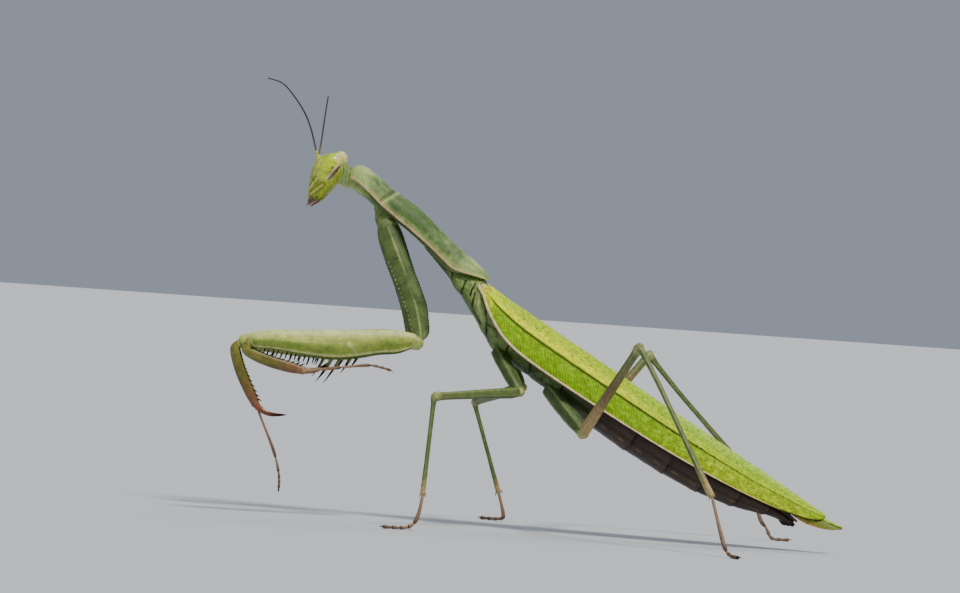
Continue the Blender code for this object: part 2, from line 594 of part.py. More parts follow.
def build_walking_leg(pair, word, side, sections, trunk_to_world, parent):
    """Coxa, femur, tibia and tarsus of a middle or hind leg."""
    leg = LEGS[f"{pair}_{word}"]
    root = trunk_to_world @ mm(*leg["root"])
    belly = (trunk_to_world.to_3x3() @ Vector((0, side * 0.35, -0.93))).normalized()
    hip = steps(root, [leg["coxa"]], side)[-1]
    knee = steps(hip, [leg["femur"]], side)[-1]
    ankle = steps(knee, [leg["tibia"]], side)[-1]
    across = (knee - hip).cross(ankle - knee).normalized() * side
    joints = [root, hip, knee, ankle]
    foot = [ankle]
    for distance, heading, height in leg["foot"]:
        ahead = foot[-1] + direction(heading, 0.0, side) * (distance * MM)
        foot.append(Vector((ahead.x, ahead.y, height * MM)))
    joints.append(foot[1])
    for i, (kind, rows) in enumerate(zip(("coxa", "femur", "tibia"), sections)):
        start_cut = (belly, root) if i == 0 else joint_cut(joints[i - 1], joints[i], joints[i + 1], 1)
        end_cut = joint_cut(joints[i], joints[i + 1], joints[i + 2], -1)
        path, sizes = straight(joints[i], joints[i + 1], rows, across)
        limb(f"{pair}_{kind}_{word}", path, sizes, across, parent, (DARK_GREEN, GREEN, GREEN)[i], 8,
             start_cut, end_cut)
    sizes = [(TARSUS_RADIUS, TARSUS_RADIUS)] * len(foot)
    start_cut = joint_cut(knee, ankle, foot[1], 1)
    limb(f"{pair}_tarsus_{word}", foot, sizes, across, parent, TAN, 8, start_cut, on_floor=True)


def main():
    """Builds the model, each sub-part as its own object."""
    start_scene()
    mantis = empty("mantis", matrix=Matrix.Translation(mm(*CENTRE_SHIFT, 0.0)))
    stance = Euler((radians(TRUNK_ROLL), radians(TRUNK_PITCH), 0)).to_matrix().to_4x4()
    trunk_to_world = Matrix.Translation(mm(*TRUNK_ORIGIN)) @ stance
    trunk = empty("trunk", mantis, trunk_to_world)
    tilt = Euler((radians(HEAD_ROLL), radians(HEAD_PITCH), 0)).to_matrix().to_4x4()
    head_frame = empty("head_frame", mantis, Matrix.Translation(mm(*HEAD_ORIGIN)) @ tilt)
    build_head(head_frame)
    build_antennae(head_frame)
    build_trunk_piece("neck", NECK, 1, 12, GREEN, trunk)
    build_trunk_piece("pronotum", PRONOTUM, 2, 14, GREEN, trunk)
    build_trunk_piece("pterothorax", PTEROTHORAX, 1, 12, OLIVE, trunk)
    build_trunk_piece("abdomen", ABDOMEN, 3, 14, BROWN, trunk, ABDOMEN_SEGMENTS)
    build_cerci(trunk)
    build_wings(trunk)
    for side, word in ((-1, "left"), (1, "right")):
        build_fore_leg(word, side, trunk_to_world, mantis)
        build_walking_leg("mid", word, side, (MID_COXA, MID_FEMUR, MID_TIBIA), trunk_to_world, mantis)
        build_walking_leg("hind", word, side, (HIND_COXA, HIND_FEMUR, HIND_TIBIA), trunk_to_world, mantis)


main()
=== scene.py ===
# %% [markdown]
# # A praying mantis, life size
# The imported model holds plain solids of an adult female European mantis: trunk, wings, legs and head. This
# file dresses each of them as the animal's own skin. Almost everything on an insect is cuticle, a thin
# tough shell of chitin, so the pieces share one way of being made: closed rings of points wrapped into a
# skin, with a little relief, and three numbers at each point that say how its colour leans.

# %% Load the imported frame
from math import atan2, cos, exp, pi, radians, sin, sqrt

import bmesh
import bpy
from mathutils import Euler, Matrix, Vector, noise


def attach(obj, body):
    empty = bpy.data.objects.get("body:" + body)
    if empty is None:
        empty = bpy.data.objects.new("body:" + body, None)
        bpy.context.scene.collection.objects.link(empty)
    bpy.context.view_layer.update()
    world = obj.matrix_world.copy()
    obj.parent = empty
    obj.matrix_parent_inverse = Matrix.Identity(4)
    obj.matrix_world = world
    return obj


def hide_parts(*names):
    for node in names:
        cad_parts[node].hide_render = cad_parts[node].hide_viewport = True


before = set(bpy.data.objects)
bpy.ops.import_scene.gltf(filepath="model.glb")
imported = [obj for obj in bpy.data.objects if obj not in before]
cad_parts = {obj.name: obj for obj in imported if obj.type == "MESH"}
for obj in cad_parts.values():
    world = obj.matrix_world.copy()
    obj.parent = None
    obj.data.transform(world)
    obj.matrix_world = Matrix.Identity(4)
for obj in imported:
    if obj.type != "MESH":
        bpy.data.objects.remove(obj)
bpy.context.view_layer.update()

MM = 0.001

# %% [markdown]
# ## The stance
# This mantis stands with its trunk pitched up and rolled a little to one side. The trunk's own frame has its
# origin at the wing root on the midline: x runs towards the tail, y to the right side and z up from the
# back. The head has a frame too, with -x out of the face. Working in these frames keeps every number small
# and readable, and one matrix puts each piece into the standing pose.

# %% Frames of the trunk and the head
def mm(x, y, z):
    """A point given in millimetres."""
    return Vector((x, y, z)) * MM


def stance(origin, roll, pitch):
    """The matrix that stands a frame up."""
    return Matrix.Translation(mm(*origin)) @ Euler((radians(roll), radians(pitch), 0)).to_matrix().to_4x4()


def placed(frame_matrix, side, *points):
    """Points of a frame, in mm and with y mirrored for the left side, put into the standing pose."""
    return [frame_matrix @ mm(x, side * y, z) for x, y, z in points]


TRUNK = stance((-6.477, 1.715, 27.25), 8, 30)
HEAD = stance((-25.577, 1.715, 38.55), 6, 28)
SIDES = ((-1, "left"), (1, "right"))
print("wing root at, mm:", [round(c / MM, 2) for c in TRUNK.translation])

# %% [markdown]
# ## Colours and one node helper
# Colours are written as sRGB hex, as a paint chart gives them, and turned to the linear values that the
# renderer works in. One small function adds a node with its settings and links.

# %% Colour and node helpers
def linear(hex_colour):
    """An sRGB hex colour as linear RGBA."""
    parts = [int(hex_colour[i:i + 2], 16) / 255 for i in (1, 3, 5)]
    return tuple(c / 12.92 if c <= 0.04045 else ((c + 0.055) / 1.055) ** 2.4 for c in parts) + (1.0,)


def add(tree, kind, values=None, **settings):
    """Adds a node. Values go to its sockets, as numbers or as links from other nodes' outputs."""
    node = tree.nodes.new("ShaderNode" + kind)
    for key, value in settings.items():
        setattr(node, key, value)
    for key, value in (values or {}).items():
        if isinstance(value, bpy.types.NodeSocket):
            tree.links.new(value, node.inputs[key])
        else:
            node.inputs[key].default_value = value
    return node


# %% [markdown]
# ## Cuticle
# Chitin shell is hard, slightly waxy and semi-matt, with an IOR near 1.56. Its colour lies under the
# surface in soft mottling, and the surface has pits and wrinkles of a tenth of a millimetre or so. The
# material reads three numbers from the mesh: tone leans from the main colour to a second one, mark paints
# raised lines and dark paints tips and sutures. On several pieces mark also paints highlight and dark paints
# shade. The number at each point is worked out where the shape is made, so a line of colour always sits on
# its ridge.

# %% The cuticle material
CHITIN_IOR = 1.56
PIT_SIZE = 0.16                  # mm; real pits are finer, and this is as coarse as a full view needs
MOTTLE_SHADE = (0.72, 1.2)       # brightness of the darkest and of the lightest mottles
PIT_SHADE = (0.8, 1.14)          # brightness in a pit and beside it
GLOSS_SWING = (-0.08, 0.1)       # how far the mottling moves the roughness, down and up
DULL_SHINE = 0.1                 # specular level where a groove or a tip is dark
LIGHT_SPREAD = (0.5, 0.6, 0.2)   # how far red, green and blue light pass under the surface, as shares
LIGHT_DEPTH = 0.8 * MM           # how far they pass where the share is 1


def cuticle(name, main, tone, mark, dark, roughness=0.4, mottle=1.1, relief=0.012, depth=0.0, shine=0.5):
    """Insect shell in four colours led by the mesh. Mottle and relief are in mm, shine is the specular
    level, and depth is the share of light that passes under the surface."""
    material = bpy.data.materials.new(name)
    material.use_nodes = True
    tree = material.node_tree
    shader = tree.nodes["Principled BSDF"]
    place = add(tree, "TexCoord").outputs["Object"]
    cloud = add(tree, "TexNoise", {"Vector": place, "Scale": 1 / (mottle * MM), "Detail": 4.0})
    pits = add(tree, "TexNoise", {"Vector": place, "Scale": 1 / (PIT_SIZE * MM), "Detail": 2.0})
    colour = linear(main)
    for word, hex_colour in (("tone", tone), ("mark", mark), ("dark", dark)):
        lead = add(tree, "Attribute", attribute_name=word).outputs["Fac"]
        mix = add(tree, "MixRGB", {"Fac": lead, "Color1": colour, "Color2": linear(hex_colour)})
        colour = mix.outputs["Color"]
    shade = add(tree, "MapRange", {"Value": cloud.outputs["Fac"], "From Min": 0.3, "From Max": 0.7,
                                   "To Min": MOTTLE_SHADE[0], "To Max": MOTTLE_SHADE[1]})
    speck = add(tree, "MapRange", {"Value": pits.outputs["Fac"], "From Min": 0.35, "From Max": 0.65,
                                   "To Min": PIT_SHADE[0], "To Max": PIT_SHADE[1]})
    both = add(tree, "Math", {0: shade.outputs["Result"], 1: speck.outputs["Result"]}, operation="MULTIPLY")
    tinted = add(tree, "HueSaturation", {"Value": both.outputs["Value"], "Color": colour})
    gloss = add(tree, "MapRange", {"Value": cloud.outputs["Fac"], "To Min": roughness + GLOSS_SWING[0],
                                   "To Max": roughness + GLOSS_SWING[1]})
    bump = add(tree, "Bump", {"Height": pits.outputs["Fac"], "Distance": relief * MM, "Strength": 1.0})
    tree.links.new(tinted.outputs["Color"], shader.inputs["Base Color"])
    tree.links.new(gloss.outputs["Result"], shader.inputs["Roughness"])
    tree.links.new(bump.outputs["Normal"], shader.inputs["Normal"])
    dull = add(tree, "MapRange", {"Value": lead, "To Min": shine, "To Max": DULL_SHINE})
    tree.links.new(dull.outputs["Result"], shader.inputs["Specular IOR Level"])
    shader.inputs["IOR"].default_value = CHITIN_IOR
    if depth:
        shader.inputs["Subsurface Weight"].default_value = depth
        shader.inputs["Subsurface Radius"].default_value = LIGHT_SPREAD
        shader.inputs["Subsurface Scale"].default_value = LIGHT_DEPTH
    return material


# %% [markdown]
# ### The finishes
# Each finish is one stretch of the shell: leaf green where the animal shows itself to the sun, grey-green
# on the shield behind the head, olive to brown underneath, where the coxae's deep green is partly painted
# shade, pinkish brown at the mouth and feet, and near black on every spine tip, where the chitin is
# hardened and tanned.

# %% Finishes, named for the stretch of shell they cover
# the head is smooth and waxy: a broad soft sheen over yellow-green
HEAD_SHELL = cuticle("head_shell", "#C2D626", "#96A022", "#F2E888", "#3A3012", 0.45, 0.6, 0.014, shine=0.35)
# the eye's skin is hard and even: small bright glints; its olive-brown second colour paints shade on the back
EYE_SHELL = cuticle("compound_eye", "#D2EA14", "#64481E", "#F8D2AE", "#160E08", 0.24, 1.2, 0.004)
# the jaws and palps are thin-skinned: olive going to pinkish brown, a little moist
MOUTH_SHELL = cuticle("mouth_shell", "#7E8A2A", "#7E4630", "#E6B492", "#26100A", 0.3, 0.5)
# the feelers are bare horn with a fine nap: dull and grey-brown
FEELER_SHELL = cuticle("feeler_shell", "#3F3A33", "#8A6A4C", "#86765C", "#15120F", 0.5, 0.8)
# the shield is a finely wrinkled plate: chalky grey-green, with a pinkish rim
SHIELD = cuticle("pronotum_shield", "#4F6E32", "#B0C470", "#EBBE92", "#3A2C16", 0.52, 1.0, 0.014,
                 depth=0.05, shine=0.3)
# the chest is many small swollen plates: half-matt olive, with dark seams
CHEST = cuticle("chest_plates", "#5E7E30", "#93AA50", "#CFCF8E", "#161E08", 0.5, 0.9, 0.02)
# the abdomen's rings are thick tanned plates: deep brown with a dull bloom
BELLY = cuticle("abdomen_plates", "#31241A", "#34441E", "#8A6C46", "#0B0806", 0.45, 0.8, 0.03, shine=0.3)
# the coxae are dense shell with little wax, so nearly matt; their deep green is partly painted shade,
# for the shade they hang in under the body
LEG_DARK = cuticle("coxa_shell", "#455C2C", "#78894A", "#B9C276", "#131C08", 0.48, 0.8, shine=0.22)
# the grasping femora are thin blades: light passes a little way in, so they glow like a leaf
LEG_LIGHT = cuticle("grasping_femur_shell", "#7F9A2A", "#CDD468", "#EEEBA4", "#3C5010", 0.42, 0.8, 0.014,
                    depth=0.05, shine=0.4)
# the walking legs are slim ridged tubes: grey-green, with the ridges catching the light
LEG_GREEN = cuticle("walking_leg_shell", "#5E6E36", "#B6955C", "#B4BC70", "#2A180C", 0.45, 0.6, 0.016,
                    shine=0.35)
# the grasping tibiae are hard and smooth: olive tanned to brown towards the claw
SHIN = cuticle("grasping_tibia_shell", "#7E7A24", "#7C4E2A", "#C09464", "#140C06", 0.4, 0.7)
# the feet are small leathery joints: tan and half-matt
FOOT = cuticle("tarsus_shell", "#866644", "#6A4630", "#C4A67C", "#20140C", 0.45, 0.5)
# claws and spines are the hardest horn: polished, red-brown or olive, and black at the tip
CLAW = cuticle("claw_horn", "#7A2E14", "#7A2E14", "#A65A30", "#0C0806", 0.25, 0.6, 0.004)
SPINE = cuticle("spine_horn", "#6F7A34", "#98944C", "#B4AC70", "#0E0B08", 0.25, 0.6, 0.004)
print("materials, with those of the solids:", len(bpy.data.materials))

# %% [markdown]
# ## A skin from rings
# A shell like this could be sculpted or built from subdivided boxes. Here each piece is a stack of closed
# rings of points, the way a boat is lofted over its frames, because the same few numbers that place a leg
# or a plate then also place its ridges and its colours. Each ring is joined to the next and a pole closes
# each end, so every piece is a closed body.

# %% The skin builder
THORN_RINGS, THORN_SIDES = 8, 8
THORN_TIP = 0.012 * MM           # radius left at a spine's tip
BEAD_RINGS, BEAD_SIDES = 12, 16


def circle(count):
    """The turns at which a ring's points lie."""
    return [2 * pi * k / count for k in range(count)]


class Skin:
    """Collects closed shells of points, faces and coats (tone, mark, dark), then becomes one piece."""

    def __init__(self):
        self.points, self.faces, self.coats = [], [], []

    def wrap(self, rings, coats):
        """Faces between rings of points, closed by a pole at each end."""
        base, count = len(self.points), len(rings[0])
        for ring, coat in zip(rings, coats):
            self.points += ring
            self.coats += coat
        for i in range(len(rings) - 1):
            for k in range(count):
                a, b = base + i * count + k, base + i * count + (k + 1) % count
                self.faces.append((a, b, b + count, a + count))
        for i in (0, len(rings) - 1):
            pole, start = len(self.points), base + i * count
            self.points.append(sum(rings[i], Vector()) / count)
            self.coats.append(tuple(sum(coat) / count for coat in zip(*coats[i])))
            self.faces += [(start + k, start + (k + 1) % count, pole) for k in range(count)]

    def thorn(self, foot, way, length, radius, lean=Vector(), black_from=0.35):
        """A curved tapering spine with a black tip."""
        side = way.orthogonal().normalized()
        other = way.cross(side)
        rings, coats = [], []
        for i in range(THORN_RINGS):
            t = i / (THORN_RINGS - 1)
            centre = foot + way * (length * t) + lean * (t * t)
            thick = radius * (1 - t) ** 0.75 + THORN_TIP
            rings.append([centre + side * (thick * cos(turn)) + other * (thick * sin(turn))
                          for turn in circle(THORN_SIDES)])
            coats.append([(0.3, 0, step(black_from, black_from + 0.3, t))] * THORN_SIDES)
        self.wrap(rings, coats)

    def bead(self, centre, radius, coat, squash=(1, 1, 1), turned=Matrix.Identity(3), rough=0.0):
        """A small bump, flattened along its own axes and as uneven as rough says."""
        rings = []
        for i in range(1, BEAD_RINGS):
            low, reach = -cos(pi * i / BEAD_RINGS), sin(pi * i / BEAD_RINGS)
            ring = []
            for turn in circle(BEAD_SIDES):
                spot = (cos(turn) * reach, sin(turn) * reach, low)
                swell = radius * (1 + rough * grain(*(Vector(spot) * 1.7 + centre / MM)))
                ring.append(centre + turned @ Vector([a * b for a, b in zip(spot, squash)]) * swell)
            rings.append(ring)
        self.wrap(rings, [[coat] * BEAD_SIDES] * (BEAD_RINGS - 1))

    def finish(self, name, material, slot, *nodes):
        """Makes the piece: normals outwards, smooth, riding on the body in place of its solids."""
        mesh = bpy.data.meshes.new(name)
        mesh.from_pydata(self.points, [], self.faces)
        for k, word in enumerate(("tone", "mark", "dark")):
            layer = mesh.attributes.new(word, "FLOAT", "POINT")
            layer.data.foreach_set("value", [min(max(coat[k], 0.0), 1.0) for coat in self.coats])
        bm = bmesh.new()
        bm.from_mesh(mesh)
        bmesh.ops.recalc_face_normals(bm, faces=bm.faces)
        bm.to_mesh(mesh)
        bm.free()
        mesh.shade_smooth()
        mesh.materials.append(material)
        piece = bpy.data.objects.new(name, mesh)
        bpy.context.collection.objects.link(piece)
        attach(piece, "root")
        if nodes:
            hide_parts(*nodes)


# %% [markdown]
# ### Curves and bumps
# A few small functions shape everything below. `smooth_rows` runs a Catmull-Rom curve through rows of
# numbers, which passes through each row and bends evenly between them, and `read_rows` reads it at any
# place. `hump` is a soft ridge around zero, `step` is a soft edge, `cells` gives a net of small cells and
# `line_distance` a seam or a ridge between two points. `grain` gives the unevenness of a grown thing, and
# it is the same on each run.

# %% Curves, humps, steps and grain
def smooth_rows(rows, per_span):
    """Rows made denser by a Catmull-Rom curve through them."""
    padded = [rows[0], *rows, rows[-1]]
    dense = []
    for span in zip(padded, padded[1:], padded[2:], padded[3:]):
        for k in range(per_span):
            t = k / per_span
            dense.append(tuple(0.5 * (2 * q + (r - p) * t + (2 * p - 5 * q + 4 * r - s) * t ** 2
                                      + (3 * q - p - 3 * r + s) * t ** 3) for p, q, r, s in zip(*span)))
    return dense + [tuple(rows[-1])]


def read_rows(rows, place):
    """The row at a place, linear between neighbours."""
    for low, high in zip(rows, rows[1:]):
        if place <= high[0]:
            break
    t = min(max((place - low[0]) / (high[0] - low[0]), 0.0), 1.0)
    return [a + (b - a) * t for a, b in zip(low, high)]


def hump(value, width):
    """1 at zero, falling softly to nothing."""
    return exp(-(value / width) ** 2)


def step(low, high, value):
    """0 below low, 1 above high."""
    t = min(max((value - low) / (high - low), 0.0), 1.0)
    return t * t * (3 - 2 * t)


def grain(x, y, z=0.0):
    """Even, repeatable unevenness from -1 to 1."""
    return noise.noise(Vector((x, y, z)))


def cells(x, y):
    """How far a point lies from the nearest wall of a net of cells: 0 on the wall."""
    near, _ = noise.voronoi(Vector((x, y, 0.0)))
    return near[1] - near[0]


def line_distance(x, z, start, end):
    """Distance in a plane from a point to a short line."""
    run = Vector(end) - Vector(start)
    reach = min(max((Vector((x, z)) - Vector(start)).dot(run) / run.length_squared, 0.0), 1.0)
    return (Vector((x, z)) - Vector(start) - run * reach).length


print("a ridge falls to", round(hump(1.0, 1.0), 2), "at its width")

# %% [markdown]
# ## Trunk pieces
# The shield, chest and abdomen are all lofted from rows in the trunk's frame: where the section lies, the
# height of its widest line, its half width, how far it reaches above and below that line, and how far it
# leans. The rows stay close to those of the solids. Each piece adds its own relief, a function of the place
# along the trunk and the turn round it.

# %% Lofting a piece of trunk
def trunk_piece(rows, per_span, around, relief):
    """A skin through trunk sections; relief gives extra height in mm and the three coats."""
    rings, coats = [], []
    for along, height, half_width, top, bottom, lean in smooth_rows(rows, per_span):
        ring, coat = [], []
        for turn in circle(around):
            depth = top if sin(turn) > 0 else bottom
            extra, *look = relief(along, turn)
            out = Vector((0, cos(turn) / half_width, sin(turn) / depth)).normalized() * extra
            rise = depth * sin(turn)
            spot = Vector((along - lean * rise, half_width * cos(turn), height + rise)) + out
            ring.append(TRUNK @ (spot * MM))
            coat.append(tuple(look))
        rings.append(ring)
        coats.append(coat)
    skin = Skin()
    skin.wrap(rings, coats)
    return skin


# %% [markdown]
# ### The pronotum and the neck
# The long shield over the first chest ring looks like a neck. On the real animal it is one plate, a little
# wider where the grasping legs hang, with a raised rim along each side that carries fine teeth, a faint
# keel down the middle and a curved groove across it above the legs. The rim is pinkish, which sets the
# shield off from the paler chest under it. The true neck in front of it is soft skin in ring folds, so it
# is a piece of its own with uneven folds.

# %% Pronotum and the neck skin in front of it
PRONOTUM = [(-19.85, 1.95, 1.15, 0.85, 1.15, 0.48), (-19.3, 2.15, 1.6, 1.3, 1.35, 0.45),
            (-18.5, 2.2, 1.95, 1.55, 1.45, 0.3), (-17.0, 2.0, 2.15, 1.62, 1.2, 0.15),
            (-15.2, 1.65, 2.4, 1.75, 1.1, 0.0), (-13.0, 1.3, 2.1, 2.05, 0.7, 0.0),
            (-10.4, 0.97, 1.75, 2.12, 0.6, 0.0), (-8.0, 0.6, 1.55, 1.98, 0.7, 0.0),
            (-5.8, 0.2, 1.6, 1.98, 0.95, 0.0), (-4.4, 0.0, 1.75, 1.95, 0.85, 0.0),
            (-3.0, 0.3, 1.72, 1.5, 0.35, 0.0), (-1.7, 0.7, 1.35, 0.92, 0.25, 0.0),
            (-0.55, 0.92, 0.6, 0.28, 0.12, 0.0), (-0.35, 0.93, 0.2, 0.1, 0.05, 0.0)]
RIM_TOOTH = 0.42                 # mm between the rim's teeth


def pronotum_relief(along, turn):
    """Rims, keel, cross groove and soft wrinkles of the shield, with painted shade in the groove, below the
    rim and on the underside.
    """
    up = sin(turn)
    rim = hump(up, 0.09)
    teeth = max(0.0, sin(2 * pi * along / RIM_TOOTH)) * (1 - step(-11, -7, along))
    above = step(0.0, 0.15, up)
    groove = hump(along + 14.75 + 0.75 * (1 - up), 0.2) * above
    lip = hump(along + 14.4 + 0.75 * (1 - up), 0.22) * above
    keel = hump(cos(turn), 0.045) * above
    hollow = hump(up + 0.22, 0.14)
    wrinkle = grain(along * 1.3, turn * 3) + 0.5 * grain(along * 3.1, turn * 7, 4)
    extra = (0.17 * rim * (1 + 0.3 * teeth) + 0.04 * keel - 0.13 * groove + 0.05 * lip - 0.1 * hollow
             + 0.02 * wrinkle)
    tone = (0.15 + 0.4 * grain(along * 0.55, turn * 1.4, 9) + 0.6 * lip + 0.35 * keel
            + 0.25 * grain(along * 2.2, turn * 4))
    tone += (0.5 * hump(up - 0.2, 0.14) - 0.3 * hump(along + 11, 3.5) + 0.5 * step(-6, -1.5, along)
             + 0.75 * (1 - step(-19, -16.2, along)))
    # dark: painted shade in the cross groove, in the hollow below the rim and on the underside
    dark = 0.55 * groove + 0.35 * hollow + 0.25 * step(0.1, 0.6, -up)
    return extra, tone, hump(up - 0.01, 0.075), dark + 0.6 * hump(up - 0.035, 0.022)


pronotum = trunk_piece(PRONOTUM, per_span=14, around=96, relief=pronotum_relief)
pronotum.finish("pronotum_shield", SHIELD, "pronotum_cuticle", "pronotum")

NECK = [(-21.6, 1.6, 0.85, 1.0, 1.1, 0.31), (-20.9, 1.68, 0.98, 1.15, 1.25, 0.31),
        (-20.2, 1.76, 1.0, 1.05, 1.25, 0.42), (-19.6, 1.95, 1.0, 0.8, 1.0, 0.45),
        (-18.9, 2.0, 0.8, 0.6, 0.7, 0.4)]
NECK_FOLD = 0.46                 # mm from one fold to the next


def neck_relief(along, turn):
    """Soft skin in ring folds, with a firmer patch below where the neck plates lie, and painted shade on top
    and in the folds' troughs.
    """
    bend = (along + 0.12 * sin(turn) + 0.16 * grain(along * 1.3, turn * 1.6)
            + 0.05 * grain(along * 4, turn * 5, 2))
    fold = sin(2 * pi * bend / NECK_FOLD) * (0.35 + 0.65 * step(-0.3, 0.3, grain(along * 1.5, turn * 2.2, 8)))
    plate = hump(along + 20.3, 0.35) * step(0.1, 0.5, -sin(turn))
    tone = 0.7 + 0.2 * fold + 0.4 * grain(along * 2, turn * 3, 4)
    pale = 0.15 * plate + 0.3 * step(-0.2, 0.8, -sin(turn))
    # the last number is painted shade: darker on top, where the head and the shield shade the neck, and in
    # the troughs of the folds
    return 0.026 * fold + 0.1 * plate, tone, pale, 0.1 + 0.25 * sin(turn) - 0.15 * fold


neck = trunk_piece(NECK, per_span=10, around=48, relief=neck_relief)
neck.finish("neck_skin", CHEST, "pronotum_cuticle", "neck")
print("pronotum points:", len(pronotum.points))

# %% [markdown]
# ### The chest
# The second and third chest rings carry the wings and the four walking legs. Their sides are not one plate
# but a patchwork of small ones, the sclerites, with soft seams between them that let the legs swing.
# Modelling each plate would take long and show little, so only the main seams are given, as short lines on
# the flank. The skin swells away from them and darkens along them, with a net of fine creases between.

# %% Chest with its small plates
PTEROTHORAX = [(-8.4, 0.15, 0.8, 0.3, 0.25, 0.0), (-7.0, -0.05, 1.1, 0.5, 0.45, 0.0),
               (-5.6, -0.3, 1.35, 0.6, 0.62, 0.0), (-4.1, -0.7, 1.5, 0.8, 0.64, 0.0),
               (-3.0, -1.1, 1.6, 1.2, 0.8, 0.0), (-1.8, -1.25, 1.75, 1.75, 1.05, 0.0),
               (-0.95, -1.45, 1.85, 2.05, 1.22, 0.0), (-0.3, -1.7, 1.9, 2.1, 1.3, 0.0),
               (0.8, -2.0, 2.0, 2.1, 1.5, 0.0), (2.1, -2.4, 2.15, 2.2, 1.85, 0.0),
               (4.7, -3.25, 2.35, 2.5, 2.15, 0.0),
               (8.0, -3.6, 2.55, 1.85, 1.9, 0.0), (11.0, -3.7, 2.65, 1.8, 1.9, 0.0),
               (13.4, -3.8, 2.7, 1.75, 1.75, 0.0)]
# seams between plates: each end is (along, height up the flank)
CHEST_SEAMS = [((-4.2, 0.8), (-3.8, -0.9)), ((-2.3, 0.9), (-2.0, -1.2)), ((-1.3, 1.2), (-1.0, 0.0)),
               ((-0.6, 0.5), (-0.1, -0.9)), ((-0.1, -0.9), (1.6, -1.2)), ((0.3, 1.3), (2.4, -0.5)),
               ((2.4, -0.5), (3.0, -1.4)), ((2.4, -0.5), (5.0, 0.6)), ((5.4, 1.4), (6.2, -1.3)),
               ((8.6, 1.4), (9.4, -1.3))]
PALE_PATCH = ((0.0, 0.3), (1.8, -0.7))      # the two ends of the pale patch behind the wing root


def chest_relief(along, turn):
    """Swollen plates parted by seams, with a pale patch behind the wing root, painted shade underneath and
    under the shield in front, and darker towards the rear.
    """
    up = 1.7 * sin(turn) + 0.12 * grain(along * 1.1, turn * 2)
    place = along + 0.15 * grain(along * 0.9, turn * 3, 3)
    gap = min(line_distance(place, up, a, b) for a, b in CHEST_SEAMS)
    seam, swell = hump(gap, 0.11), step(0.05, 0.7, gap)
    wall = cells(along * 0.8 + 0.2 * grain(along, turn * 2, 5), turn * 1.9)
    crease = 1 - step(0.0, 0.1, wall)
    near = step(-6, -3, along)
    wrinkle = grain(along * 2.6, turn * 6, 2) + 0.5 * grain(along * 6, turn * 11, 4)
    extra = 0.13 * swell - 0.1 * seam - 0.035 * crease + 0.035 * wrinkle
    pale = hump(line_distance(place, up, *PALE_PATCH), 0.45)
    tone = (0.3 + 0.45 * grain(along * 1.1, turn * 2.2, 7) + 0.5 * pale + 0.25 * wrinkle
            - 0.3 * step(2, 9, along))
    mark = 0.3 * hump(gap - 0.22, 0.06) * step(-0.4, 0.3, sin(turn)) + 0.25 * pale
    # dark: seams and creases, darker towards the rear, and painted shade on the underside; the 0.5 added in
    # front is painted shade under the shield
    dark = 0.9 * seam + 0.35 * crease + 0.45 * step(3, 10, along) + 0.3 * step(0.1, 0.8, -sin(turn))
    return extra * (0.2 + 0.8 * near), tone, mark, dark + 0.5 * (1 - near)


chest = trunk_piece(PTEROTHORAX, per_span=14, around=84, relief=chest_relief)
chest.finish("chest", CHEST, "thorax_cuticle", "pterothorax")
print("seams on each flank:", len(CHEST_SEAMS))

# %% [markdown]
# ### The abdomen
# The soft abdomen is armoured by rings of plates. Each ring's back edge laps a little over the next one, as
# roof tiles do, and a fold along each flank parts the back plates from the belly plates, so that the
# abdomen can swell with eggs. The relief grows slowly along each ring and drops at its end, which is how a
# lap looks.

# %% Abdomen with lapping rings
ABDOMEN = [(12.9, -3.8, 2.3, 1.5, 1.6, 0.0), (13.6, -3.85, 2.65, 1.7, 1.85, 0.0),
           (17.0, -3.9, 3.1, 1.9, 2.45, 0.0), (22.0, -3.9, 3.4, 2.15, 2.65, 0.0),
           (27.9, -3.8, 3.4, 2.05, 2.55, 0.0), (32.7, -3.5, 3.1, 1.7, 2.35, 0.0),
           (37.2, -3.0, 2.4, 1.25, 1.85, 0.0), (40.7, -2.6, 1.6, 0.75, 0.95, 0.0),
           (43.0, -2.55, 0.85, 0.35, 0.5, 0.0), (43.6, -2.55, 0.4, 0.15, 0.25, 0.0)]
RING_ENDS = [13.0, 18.6, 23.2, 28.1, 32.5, 36.7, 40.2, 42.4, 44.0]
LAP = 0.13                       # mm that a ring stands over the next one
DASH_PITCH = 2.4                 # mm between the pale dashes low on the flank


def abdomen_relief(along, turn):
    """Lapping rings, flank folds, pale dashes and a greener base."""
    lean = 0.35 * cos(turn) ** 2
    place = along - lean
    k = max(i for i, end in enumerate(RING_ENDS[:-1]) if place >= end or i == 0)
    share = min(max((place - RING_ENDS[k]) / (RING_ENDS[k + 1] - RING_ENDS[k]), 0.0), 1.0)
    seam = hump(share, 0.035) + hump(share - 1, 0.02)
    flank = hump(sin(turn) + 0.3, 0.06)
    dash = hump(sin(turn) + 0.52, 0.03)
    dash *= step(0.35, 0.6, sin(2 * pi * along / DASH_PITCH) + 0.3 * grain(along, 5))
    extra = LAP * (share ** 4 - 0.45) - 0.1 * flank + 0.035 * grain(along * 1.4, turn * 3)
    extra += 0.02 * grain(along * 5, turn * 9, 3)
    tone = 1 - step(16, 20, along) + 0.12 * grain(along, turn * 2)
    return extra, tone, 0.7 * dash + 0.12 * share, 0.9 * seam + 0.4 * flank


abdomen = trunk_piece(ABDOMEN, per_span=22, around=84, relief=abdomen_relief)
abdomen.finish("abdomen_rings", BELLY, "abdomen_cuticle", "abdomen")
print("abdomen rings:", len(RING_ENDS) - 1)

# %% [markdown]
# ### The cerci
# Two short feelers end the abdomen. They are strings of bead-like joints, here one tapering tube whose
# thickness swells at each joint. Between them lie the dark valves that lay the eggs, drawn as small uneven
# lumps.

# %% A tube that follows a path, and the cerci
CAP_ANGLES = (30, 55, 80)        # degrees round an end at which its ever smaller rings lie


